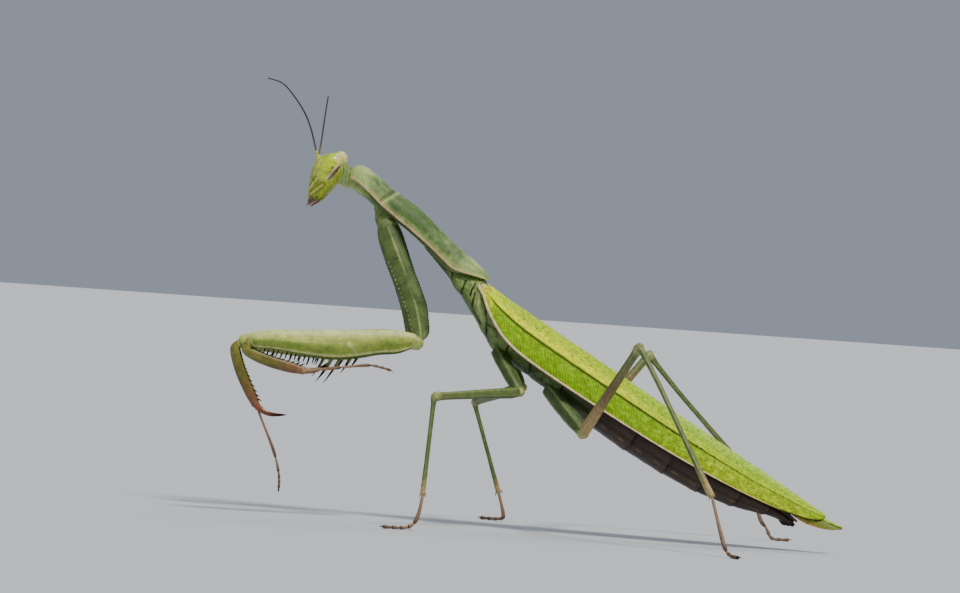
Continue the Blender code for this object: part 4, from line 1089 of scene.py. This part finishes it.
# each root in the trunk's frame, each segment as (length, heading, slope), and for the foot of a walking leg
# (length, heading, height over the floor) from joint to joint
LEGS = {
    "fore_left": dict(root=(-14.3, -1.35, 0.45), coxa=(15.0, 154.1, -66.6), femur=(19.3, 16.6, -4.0)),
    "fore_right": dict(root=(-14.3, 1.35, 0.45), coxa=(14.8, 144.3, -71.6), femur=(20.3, 1.7, -5.5)),
    "mid_left": dict(root=(5.2, -1.75, -5.1), coxa=(6.1, 133.5, -44.0), femur=(13.45, 50.2, -4.1),
                     tibia=(11.05, 56.2, -85.6), foot=[(0.56, 45, 1.38), (1.1, 22, 0.3), (2.75, 21, 0.2)]),
    "mid_right": dict(root=(5.2, 1.75, -5.1), coxa=(5.3, 138.7, -53.9), femur=(14.25, 62.8, -9.4),
                      tibia=(11.5, 138.2, -66.9), foot=[(0.75, 156, 0.8), (1.0, 60, 0.3), (2.7, 30, 0.2)]),
    "hind_left": dict(root=(12.5, -1.8, -5.35), coxa=(6.85, 145.5, -40.4), femur=(18.05, 115.3, 34.2),
                      tibia=(18.9, 151.7, -56.1), foot=[(2.2, 137, 1.4), (1.3, 128, 0.3), (2.2, 115, 0.2)]),
    "hind_right": dict(root=(12.5, 1.8, -5.35), coxa=(6.3, 149.9, -51.2), femur=(16.05, 119.2, 34.8),
                       tibia=(19.2, 160.6, -45.2),
                       foot=[(1.5, 138, 2.84), (1.03, 151, 1.48), (0.9, 150, 0.3), (2.2, 150, 0.2)]),
}
ACROSS_BODY = Vector((0, 1, 0))
print("legs:", ", ".join(LEGS))

# %% [markdown]
# ### The grasping legs: coxa
# The long coxa of a mantis works like an upper arm. It is three-sided, with a keel of fine dark teeth down
# its front and its back edge, a pale line along the outer face and a row of small pale warts near the
# front. It could be a plain tube with those drawn on, but the edges show against the light, so the keels,
# the teeth and the warts are all raised. Soft folded skin joins it to the shield.

# %% Grasping coxae
FORE_COXA = sections(
    (0.0, 0.6, 0.8, 0.0), (0.04, 0.7, 0.95, 0.0), (0.09, 0.66, 0.88, 0.03), (0.2, 0.8, 1.2, 0.0),
    (0.4, 0.82, 1.3, -0.2), (0.6, 0.8, 1.32, -0.47), (0.78, 0.75, 1.28, -0.6), (1.0, 0.62, 1.0, -0.2))
COXA_TEETH = 44                  # along each edge
WARTS = 16


def fore_coxa_relief(side):
    """Relief of the coxa of one side, with painted shade on its under side."""
    def relief(share, out, up):
        outer = step(-0.1, 0.3, side * out)
        edge = hump(abs(up) - 1.0, 0.05)
        tooth = max(0.0, sin(2 * pi * share * COXA_TEETH)) * (0.6 + 0.7 * grain(share * 30, up))
        tooth *= step(0.1, 0.2, share)
        tooth *= 1 - step(0.92, 0.97, share)
        line = hump(up + 0.38 - 0.25 * share, 0.05) * outer
        flat = -0.1 * hump(up, 0.45) * outer
        extra = edge * (0.05 + 0.075 * tooth) + 0.05 * line + flat + 0.02 * grain(share * 40, up * 4, out * 3)
        tone = 0.3 + 0.4 * grain(share * 9, up * 2, out * 2) + 0.3 * step(0.85, 1.0, share)
        pale = 0.75 * line + 0.4 * step(0.93, 1.0, share) * outer
        # dark: the toothed edges, and painted shade on the under side
        return extra, tone, pale, 0.5 * edge + 0.3 * edge * tooth + 0.3 * step(0.5, 0.9, -up) * (1 - line)
    return relief


for side, word in SIDES:
    leg = LEGS["fore_" + word]
    leg["at"] = steps(TRUNK @ mm(*leg["root"]), [leg["coxa"], leg["femur"]], side)
    root, hip, knee = leg["at"]
    coxa = Skin()
    limb(coxa, root.lerp(hip, -0.03), hip.lerp(root, -0.012), FORE_COXA, ACROSS_BODY, fore_coxa_relief(side),
         around=40, pitch=0.06, round_ends=(0.7, 0.9))
    dorsal = ACROSS_BODY.cross(hip - root).normalized()
    for k in range(WARTS):
        share = 0.36 + 0.58 * k / WARTS
        _, wide, deep, lift = read_rows(FORE_COXA, share)
        place = (root.lerp(hip, share) + dorsal * ((lift + 0.72 * deep) * MM)
                 + ACROSS_BODY * (side * wide * 0.68 * MM))
        coxa.bead(place, (0.07 + 0.03 * grain(k * 3.1, side)) * MM, (0.6, 1.0, 0.0))
    coxa.finish("grasping_coxa_" + word, LEG_DARK, "leg_cuticle", "fore_coxa_" + word)
    shoulder = Skin()
    inner = placed(TRUNK, side, (-15.0, 0.9, 1.2))
    inner += [root.lerp(hip, share) for share in (-0.015, 0.04, 0.085)]
    tube(shoulder, smooth_path(inner, 14),
         lambda t: (0.7 + 0.05 * sin(9 * t), 0.86 + 0.1 * t + 0.06 * sin(15 * t)), around=28,
         look=lambda t, turn: (0.6 + 0.6 * grain(t * 5, turn * 1.5), 0.15,
                               0.4 * hump(sin(7 * t + turn), 0.2)), up=dorsal)
    shoulder.finish("shoulder_skin_" + word, LEG_DARK, "leg_cuticle")
print("coxa teeth along each edge:", COXA_TEETH)

# %% [markdown]
# ### The grasping legs: femur and its spines
# The femur is a deep blade with a groove below, into which the tibia folds like a pocket knife. Its lower
# edge carries the weapons: four long spines near the middle, four on the outer edge and a comb of long and
# short ones on the inner edge. The spines could be part of the blade's skin, but as thorns of their own,
# rooted a little inside it, each can be set by its place, length and lean.

# %% Grasping femora
FORE_FEMUR = sections(
    (0.0, 0.5, 0.7, -0.1), (0.05, 0.62, 0.9, -0.1), (0.14, 0.72, 1.33, -0.2), (0.25, 0.82, 1.43, -0.24),
    (0.36, 0.85, 1.6, -0.42), (0.5, 0.85, 1.7, -0.52), (0.65, 0.8, 1.52, -0.35), (0.85, 0.72, 1.2, 0.05),
    (0.95, 0.66, 1.0, 0.1), (1.0, 0.55, 0.75, 0.1))
FEMUR_TEETH = 60
# share along the femur and length in mm
LONG_SPINES = [(0.515, 3.1), (0.465, 3.3), (0.4, 2.0), (0.36, 1.4)]
OUTER_SPINES = [(0.6, 0.95), (0.7, 1.0), (0.8, 0.95), (0.88, 0.8)]
INNER_SPINES = 14
ROOTED = 0.3                     # mm that a spine is sunk into the blade


def fore_femur_relief(side):
    """Pale edge lines, the slanting groove on the outer face and the row of fine teeth below. The lines along
    the top edge are painted highlight, and the underside and the long groove get painted shade.
    """
    def relief(share, out, up):
        outer = step(-0.1, 0.3, side * out)
        lower = hump(up + 0.74, 0.06) * outer
        upper = hump(up - 0.9, 0.08) + 0.6 * hump(up - 0.62, 0.05) * step(0.6, 0.9, share)
        slant = hump(share - 0.4 - 0.06 * (up + 0.3), 0.008) * step(-0.72, -0.55, up)
        slant *= 1 - step(0.1, 0.3, up)
        slant *= outer
        teeth = max(0.0, sin(2 * pi * share * FEMUR_TEETH)) * hump(up + 0.93, 0.06)
        teeth = teeth * (1 - step(0.46, 0.5, share)) * step(0.08, 0.12, share)
        lobes = hump(share - 0.965, 0.03) * hump(up, 0.5)
        extra = (0.06 * lower + 0.04 * upper - 0.05 * slant + 0.12 * teeth
                 - 0.09 * hump(up + 0.35, 0.2) * outer)
        extra += (0.1 * lobes - 0.25 * hump(up + 1.0, 0.06) * step(0.45, 0.6, share)
                  + 0.012 * grain(share * 30, up * 5, out))
        streaks = hump(up - 0.35, 0.05) + 0.6 * hump(up - 0.12, 0.04)
        streaks *= step(0.3, 0.7, share) * outer
        # tone: the blade is lighter on its upper half; pale: the lines along the top edge are painted
        # highlight
        tone = 0.25 + 0.6 * step(-0.1, 0.7, up) + 0.3 * grain(share * 8, up * 2) + 0.4 * streaks
        pale = 0.9 * lower + 0.7 * upper + 0.6 * slant + 0.3 * streaks
        # dark: painted shade on the underside and in the long groove of the outer face, plus the dark strip
        # and teeth on the lower edge
        dark = (0.3 * step(0.1, 0.6, -up) * (1 - lower) + 0.6 * hump(up + 0.9, 0.1) + 0.5 * teeth
                + 0.25 * hump(up + 0.35, 0.3))
        return extra, tone, pale, dark
    return relief


for side, word in SIDES:
    root, hip, knee = LEGS["fore_" + word]["at"]
    run = (knee - hip).normalized()
    ventral = -ACROSS_BODY.cross(run).normalized()
    femur = Skin()
    limb(femur, hip.lerp(knee, -0.01), knee.lerp(hip, -0.008), FORE_FEMUR, ACROSS_BODY,
         fore_femur_relief(side), around=48, pitch=0.06, round_ends=(0.8, 0.7))
    femur.finish("grasping_femur_" + word, LEG_LIGHT, "leg_cuticle", "fore_femur_" + word)
    comb = Skin()

    def set_spine(share, length, sideways, lean, radius):
        """Roots one spine under the femur."""
        _, _, deep, lift = read_rows(FORE_FEMUR, share)
        foot = (hip.lerp(knee, share) + ventral * ((deep - lift - ROOTED) * MM)
                + ACROSS_BODY * (side * sideways * MM))
        way = (ventral * cos(radians(lean)) + run * sin(radians(lean))).normalized()
        comb.thorn(foot, way, (length + ROOTED) * MM, radius * MM, run * (0.12 * length * MM), 0.12)

    for share, length in LONG_SPINES:
        set_spine(share, length * (0.95 if side < 0 else 0.7), 0.0, 30, 0.2)
    for share, length in OUTER_SPINES:
        set_spine(share, 0.8 * length, 0.3, 20, 0.12)
    for k in range(INNER_SPINES):
        length = (0.9 if k % 2 else 0.55) * (1 - 0.4 * k / INNER_SPINES)
        set_spine(0.57 + 0.34 * k / (INNER_SPINES - 1), length, -0.42, 15, 0.12)
    comb.finish("femur_spines_" + word, SPINE, "leg_cuticle")
print("spines on each femur:", len(LONG_SPINES) + len(OUTER_SPINES) + INNER_SPINES)

# %% [markdown]
# ### The grasping legs: elbow, tibia, claw and foot
# A small ring, the trochanter, joins coxa and femur. The tibia is short and slightly bowed, with two rows
# of spines that mesh with the femur's when it shuts, and it ends in a big hooked claw. The slender foot
# springs from its outer side just before the claw. The left tibia is folded under its femur and the right
# one hangs. A bowed limb is awkward as straight segments, so tibia, claw and foot are each a tube along a
# curve.

# %% Feet and claws, for all six legs
FOOT_JOINTS = (5.0, 1.7, 1.3, 1.0, 1.4)     # lengths of the five joints, one against the other


def foot_look(n, t):
    """Brownish joints, darker where each one ends."""
    return 0.3 + 0.3 * t, 0.35 * (1 - t), 0.6 * hump(t - 1, 0.12) + 0.1 * n


def claws(name, tip, before, across, size):
    """The two small hooks at a foot's end."""
    run = (tip - before).normalized()
    hooks = Skin()
    for away in (-1, 1):
        foot = tip - run * (0.12 * MM) + across * (away * 0.1 * MM)
        way = (run + across * (0.55 * away) + Vector((0, 0, 0.15))).normalized()
        hooks.thorn(foot, way, size * MM, 0.085 * MM, Vector((0, 0, -0.35 * size * MM)), 0.2)
    hooks.finish(name, CLAW, "tarsus_cuticle")


print("joints in a foot:", len(FOOT_JOINTS))

# %% Elbows, tibiae, claws and fore feet
# moves of (length, heading, slope): three along the tibia, then three round its claw
TIBIA_MOVES = {
    "left": [(1.1, 0.0, -84.0), (2.85, -163.0, -22.0), (3.9, -161.8, -11.5),
             (1.1, 198.0, 4.0), (1.1, 210.0, 20.0), (1.3, 215.0, 38.0)],
    "right": [(0.9, 0.0, -67.0), (2.6, 173.0, -71.0), (4.1, 177.0, -62.0),
              (1.0, 180.0, -38.0), (1.2, 180.0, -18.0), (1.7, 180.0, 2.0)],
}
TARSUS_MOVES = {
    "left": [(1.9, -170.0, 9.0), (4.6, -168.0, 8.8), (1.5, -168.0, -3.0), (1.3, -166.0, -12.0)],
    "right": [(4.4, 163.0, -64.5), (2.4, 160.0, -71.5), (1.3, 146.0, -79.0), (0.9, 100.0, -87.0)],
}
TARSUS_ASIDE = {"left": (-0.4, -0.62, -0.1), "right": (0, 0, 0)}     # mm, the foot's line off the tibia's end
TIBIA_SPINES = 17                # in each of the two rows
LOBE_ASIDE = 0.27                # mm from the knee's middle to each of the femur's two lobes


def tibia_size(t):
    """Half width and depth of the tibia."""
    return (0.5 * (0.75 + 0.25 * step(0, 0.1, t)) * (1 - 0.2 * t),
            (0.6 + 0.06 * sin(pi * t)) * (0.75 + 0.25 * step(0, 0.12, t)) * (1 - 0.2 * step(0.8, 1, t)))


for side, word in SIDES:
    root, hip, knee = LEGS["fore_" + word]["at"]
    shin = steps(knee, TIBIA_MOVES[word], side)
    thigh = (knee - hip).normalized()
    elbow = Skin()
    elbow.bead(hip + thigh * (0.35 * MM) - Vector((0, 0, 0.3 * MM)), 0.95 * MM, (0.3, 0.15, 0.1),
               (0.95, 0.78, 0.9))
    elbow.finish("elbow_ring_" + word, LEG_LIGHT, "leg_cuticle")
    path = smooth_path(shin[:4], 16)
    tibia = Skin()
    tube(tibia, path, tibia_size, around=28,
         look=lambda t, turn: (step(0.35, 0.95, t),
                               0.25 * hump(cos(turn), 0.2) + 0.3 * step(0.85, 1, t) * (side < 0),
                               0.3 * hump(sin(turn) - 1, 0.2) + 0.3 * hump(t - 0.5, 0.25)),
         up=ACROSS_BODY.cross(path[-1] - path[0]).normalized())
    tibia.finish("grasping_tibia_" + word, SHIN, "leg_cuticle", "fore_tibia_" + word)
    lobe = Skin()
    for away in (-LOBE_ASIDE, LOBE_ASIDE):
        lobe.bead(knee - thigh * (0.25 * MM) + ACROSS_BODY * (away * MM), 0.42 * MM, (0.5, 0.15, 0.1),
                  (1.1, 0.6, 1.0), rough=0.06)
    lobe.finish("femur_lobes_" + word, LEG_LIGHT, "leg_cuticle")
    hook = Skin()
    back = (path[-1] - path[-3]).normalized()
    curve = [path[-1] - back * (0.5 * MM), *smooth_path(shin[3:], 12)]
    tube(hook, curve, lambda t: (0.32 * (1 - t) ** 0.7 + 0.02, 0.41 * (1 - t) ** 0.65 + 0.02), around=20,
         look=lambda t, turn: (1.0, 0.3 * (1 - t), step(0.3, 0.9, t)),
         up=ACROSS_BODY.cross(back).normalized())
    hook.finish("tibia_claw_" + word, CLAW if side > 0 else SHIN, "leg_cuticle")
    comb = Skin()
    for row, aside in ((0, -0.22), (1, 0.22)):
        for k in range(TIBIA_SPINES):
            place = (0.2 + 0.78 * k / TIBIA_SPINES) * (len(path) - 1)
            i = min(int(place), len(path) - 2)
            run = (path[i + 1] - path[i]).normalized()
            ventral = -ACROSS_BODY.cross(run).normalized()
            foot = path[i].lerp(path[i + 1], place - i) + ventral * (0.42 * MM) + ACROSS_BODY * (aside * MM)
            length = (0.4 + 0.24 * k / TIBIA_SPINES) * MM * (1 - 0.2 * row)
            comb.thorn(foot, (ventral + run * 1.1).normalized(), length, 0.09 * MM, run * (0.1 * MM), -0.1)
    comb.finish("tibia_spines_" + word, SPINE, "leg_cuticle")
    moves = TARSUS_MOVES[word]
    begin, onward = [shin[3] + direction(*moves[0][1:], side) * (distance * MM) + mm(*TARSUS_ASIDE[word])
                     for distance in (0.5, 1.05)]
    foot_path = smooth_path([begin, *steps(onward, moves, side)], 14)
    foot = Skin()
    joints(foot, foot_path, lambda t: 0.18 - 0.02 * t, FOOT_JOINTS, foot_look)
    foot.bead(begin, 0.24 * MM, (0.1, 0.4, 0.0), (1.2, 0.9, 0.9))
    foot.finish("fore_foot_" + word, FOOT, "tarsus_cuticle", "fore_tarsus_" + word)
    claws("fore_foot_claws_" + word, foot_path[-1], foot_path[-4], ACROSS_BODY, 0.55)
print("spines on each tibia:", 2 * TIBIA_SPINES)

# %% [markdown]
# ### The walking legs
# The four walking legs are thin and plain. A short fat coxa hangs under the chest, a trochanter ring turns
# the corner, the femur tapers to a rounded knee and the tibia widens a little to its end, where two small
# spurs sit beside the foot. Fine ridges run along femur and tibia. The foot lies flat, with five joints and
# two claws. The hind femur is tan at its root and goes through brown to green at the knee. All four legs
# have the same build, so one loop makes them from a table of sections and one of places.

# %% Walking legs
WALKING = {
    "mid": dict(
        coxa=sections((0.0, 0.6, 0.6, 0.0), (0.1, 0.75, 0.75, 0.0), (0.3, 0.8, 0.82, 0.0),
                      (0.65, 0.75, 0.8, 0.0), (0.9, 0.62, 0.66, 0.0), (1.0, 0.5, 0.52, 0.0)),
        femur=sections((0.0, 0.42, 0.5, 0.0), (0.06, 0.52, 0.62, 0.0), (0.12, 0.48, 0.62, -0.05),
                       (0.45, 0.42, 0.52, 0.0), (0.85, 0.38, 0.44, 0.0), (0.96, 0.45, 0.55, 0.0),
                       (1.0, 0.36, 0.45, 0.0)),
        tibia=sections((0.0, 0.3, 0.34, 0.0), (0.05, 0.32, 0.38, 0.0), (0.14, 0.25, 0.27, 0.0),
                       (0.6, 0.23, 0.25, 0.0), (0.94, 0.28, 0.3, 0.0), (1.0, 0.26, 0.3, 0.0)),
        ring=0.6, knob=0.46),
    "hind": dict(
        coxa=sections((0.0, 0.6, 0.75, 0.0), (0.1, 0.85, 1.0, 0.0), (0.3, 0.85, 1.05, 0.0),
                      (0.65, 0.8, 1.05, 0.0), (0.9, 0.66, 0.8, 0.0), (1.0, 0.5, 0.6, 0.0)),
        femur=sections((0.0, 0.45, 0.5, 0.0), (0.04, 0.58, 0.66, 0.0), (0.1, 0.55, 0.68, 0.0),
                       (0.45, 0.48, 0.56, 0.0), (0.86, 0.4, 0.47, 0.0), (0.96, 0.5, 0.62, 0.0),
                       (1.0, 0.42, 0.5, 0.0)),
        tibia=sections((0.0, 0.36, 0.42, 0.0), (0.05, 0.36, 0.4, 0.1), (0.1, 0.3, 0.32, 0.16),
                       (0.3, 0.27, 0.29, 0.25), (0.6, 0.27, 0.31, 0.12), (0.9, 0.34, 0.42, 0.0),
                       (0.97, 0.36, 0.42, 0.0), (1.0, 0.3, 0.34, 0.0)),
        ring=0.72, knob=0.58),
}
# where the pale joint lies on each segment, as a share of its length, and how wide it is
PALE_JOINT = {"coxa": (1, 0.06), "femur": (0.97, 0.03), "tibia": (0.0, 0.03)}
SOLE_AXIS = 0.2                  # mm, the lowest that a foot's middle line runs


def leg_relief(kind, pair):
    """Fine ridges along a segment, and how its colours run, with painted shade on the under side and painted
    highlight on the ridges.
    """
    def relief(share, out, up):
        turn = atan2(up, out)
        ridge = hump(sin(2.5 * turn + 0.6), 0.3)
        extra = 0.022 * ridge + 0.012 * grain(share * 30, turn * 2)
        if kind == "coxa":
            extra = extra + 0.05 * grain(share * 9, turn) + 0.05 * ridge
        if (kind, pair) == ("femur", "hind"):
            tone = 1 - step(0.4, 0.92, share)
            dark = 0.8 * hump(share - 0.5, 0.25) * (0.75 + 0.25 * grain(share * 20, turn * 2))
        elif kind == "tibia":
            tone = step(0.78, 0.97, share)
            # painted shade on the tibia's under side, fading towards its end
            dark = 0.45 * (1 - step(0.6, 0.9, share)) * step(-0.3, 0.6, -up)
        else:
            # painted shade on the under side
            tone, dark = 0.15 * step(0.85, 1.0, share), 0.25 * step(-0.2, 0.8, -up)
        place, width = PALE_JOINT[kind]
        # the pale on the ridges is painted highlight, stronger on the hind tibia
        ridge_highlight = 0.75 if (kind, pair) == ("tibia", "hind") else 0.4
        return extra, tone, ridge_highlight * ridge + 0.5 * hump(share - place, width), dark
    return relief


for name in list(LEGS)[2:]:
    pair, word = name.split("_")
    side = -1 if word == "left" else 1
    leg, sizes = LEGS[name], WALKING[pair]
    root, hip, knee, ankle = steps(TRUNK @ mm(*leg["root"]), [leg["coxa"], leg["femur"], leg["tibia"]], side)
    thigh = (knee - hip).normalized()
    across = (knee - hip).cross(ankle - knee).normalized() * side
    foot_at = [ankle]
    for distance, heading, height in leg["foot"]:
        ahead = foot_at[-1] + direction(heading, 0.0, side) * (distance * MM)
        foot_at.append(Vector((ahead.x, ahead.y, height * MM)))
    coxa = Skin()
    limb(coxa, root.lerp(hip, -0.1), hip, sizes["coxa"], across, leg_relief("coxa", pair),
         around=32, pitch=0.08, round_ends=(0.6, 0.7))
    coxa.finish(f"{pair}_coxa_shell_{word}", LEG_DARK, "leg_cuticle", f"{pair}_coxa_{word}")
    ring = Skin()
    ring.bead(hip, sizes["ring"] * MM, (0.3, 0.6, 0.0), (1.15, 0.95, 0.95),
              (knee - hip).to_track_quat("X", "Z").to_matrix(), 0.1)
    ring.finish(f"{pair}_trochanter_{word}", LEG_GREEN, "leg_cuticle")
    femur = Skin()
    limb(femur, hip, knee + thigh * (0.2 * MM), sizes["femur"], across, leg_relief("femur", pair),
         around=30, pitch=0.1, round_ends=(0.5, 0.5))
    femur.finish(f"{pair}_femur_shell_{word}", LEG_GREEN, "leg_cuticle", f"{pair}_femur_{word}")
    tibia = Skin()
    limb(tibia, knee - (ankle - knee).normalized() * (0.15 * MM), ankle, sizes["tibia"], across,
         leg_relief("tibia", pair), around=26, pitch=0.1, round_ends=(0.4, 0.3))
    run = (foot_at[1] - ankle).normalized()
    for away in (-1, 1):
        spur = ankle - run * (0.35 * MM) + across * (away * 0.25 * MM)
        tibia.thorn(spur, (run + across * (0.5 * away)).normalized(), 0.6 * MM, 0.09 * MM, black_from=0.4)
    knob = Skin()
    size = sizes["knob"]
    knob.bead(knee, size * MM, (0.15, 0.35, 0.1), (0.85, 0.8, 0.9))
    for away in (-1, 1):
        knob.bead(knee + across * (away * 0.34 * MM), 0.3 * size * MM, (0.0, 1.0, 0.0))
    knob.finish(f"{pair}_knee_{word}", LEG_GREEN, "leg_cuticle")
    tibia.finish(f"{pair}_tibia_shell_{word}", LEG_GREEN, "leg_cuticle", f"{pair}_tibia_{word}")
    path = smooth_path([ankle - run * (0.2 * MM), *foot_at[1:]], 16)
    path = [Vector((p.x, p.y, max(p.z, SOLE_AXIS * MM))) for p in path]
    foot = Skin()
    joints(foot, path, lambda t: 0.2 + 0.03 * (1 - t), FOOT_JOINTS, foot_look)
    foot.points = [Vector((p.x, p.y, max(p.z, 0.0))) for p in foot.points]
    foot.finish(f"{pair}_foot_{word}", FOOT, "tarsus_cuticle", f"{pair}_tarsus_{word}")
    sole_way = (path[-1] - path[-5]).cross(Vector((0, 0, 1))).normalized()
    claws(f"{pair}_foot_claws_{word}", path[-1] + Vector((0, 0, 0.05 * MM)), path[-5], sole_way, 0.5)
    print(name, "foot, mm:", path_length(path))

# %% [markdown]
# ## Floor, light and camera
# The model stands on a plain pale floor in soft studio light: a large key from the upper right, a weak fill
# from the left, a lamp behind and the pale surroundings. The camera looks at the animal's left side, level
# with its body and turned a few degrees, through a long lens, so the thin legs aren't stretched by
# perspective.

# %% Stage
def plane(name, size, location, hex_colour):
    """A flat stage piece."""
    mesh = bpy.data.meshes.new(name)
    h = size / 2
    mesh.from_pydata([(-h, -h, 0), (h, -h, 0), (h, h, 0), (-h, h, 0)], [], [(0, 1, 2, 3)])
    obj = bpy.data.objects.new(name, mesh)
    obj.location = location
    material = bpy.data.materials.new(name + "_paper")
    material.use_nodes = True
    shader = material.node_tree.nodes["Principled BSDF"]
    shader.inputs["Base Color"].default_value = linear(hex_colour)
    shader.inputs["Roughness"].default_value = 0.85
    mesh.materials.append(material)
    bpy.context.collection.objects.link(obj)


FLOOR_SIZE = 12.0                # m, so that its edge stays out of sight
plane("pale_floor", FLOOR_SIZE, (0, 0, 0), "#C9CCD2")


def lamp(name, azimuth, elevation, softness, power, colour):
    """A distant soft lamp; softness is the angle in degrees that it fills."""
    data = bpy.data.lights.new(name, "SUN")
    data.angle = radians(softness)
    data.energy = power
    data.color = linear(colour)[:3]
    obj = bpy.data.objects.new(name, data)
    a, e = radians(azimuth), radians(elevation)
    obj.rotation_mode = "QUATERNION"
    obj.rotation_quaternion = Vector((sin(a) * cos(e), -cos(a) * cos(e), sin(e))).to_track_quat("Z", "Y")
    bpy.context.collection.objects.link(obj)


# azimuth, elevation and softness in degrees, power, colour
lamp("key", 40, 55, 12, 2.9, "#FFFAF0")
lamp("fill", -60, 25, 60, 0.2, "#E8F0FF")
lamp("back", 165, 50, 30, 0.6, "#FFFFFF")
world = bpy.data.worlds.new("studio")
world.use_nodes = True
world.node_tree.nodes["Background"].inputs["Color"].default_value = linear("#D3DDF0")
world.node_tree.nodes["Background"].inputs["Strength"].default_value = 0.42
bpy.context.scene.world = world
print("lamps:", len(bpy.data.lights))

# %% Camera
AIM = (-7.177, 1.715, 26.25)     # mm, the middle of the view
DISTANCE = 0.55                  # m
LENS, SENSOR = 181.7, 36.0       # mm
NEAREST = 0.01                   # m, closer than which nothing is drawn
TURN, TILT = 5.0, 4.0            # degrees round the model, and of roll
away = Vector((sin(radians(TURN)), -cos(radians(TURN)), 0.0))
flat = (-away).cross(Vector((0, 0, 1))).normalized()
level = flat.cross(-away)
right = cos(radians(TILT)) * flat + sin(radians(TILT)) * level
up = -sin(radians(TILT)) * flat + cos(radians(TILT)) * level
camera = bpy.data.objects.new("camera", bpy.data.cameras.new("camera"))
camera.data.lens = LENS
camera.data.sensor_width = SENSOR
camera.data.clip_start = NEAREST
axes = Matrix((right, up, away)).transposed().to_4x4()
camera.matrix_world = Matrix.Translation(mm(*AIM) + away * DISTANCE) @ axes
bpy.context.collection.objects.link(camera)
bpy.context.scene.camera = camera
print("camera stands", DISTANCE, "m away")
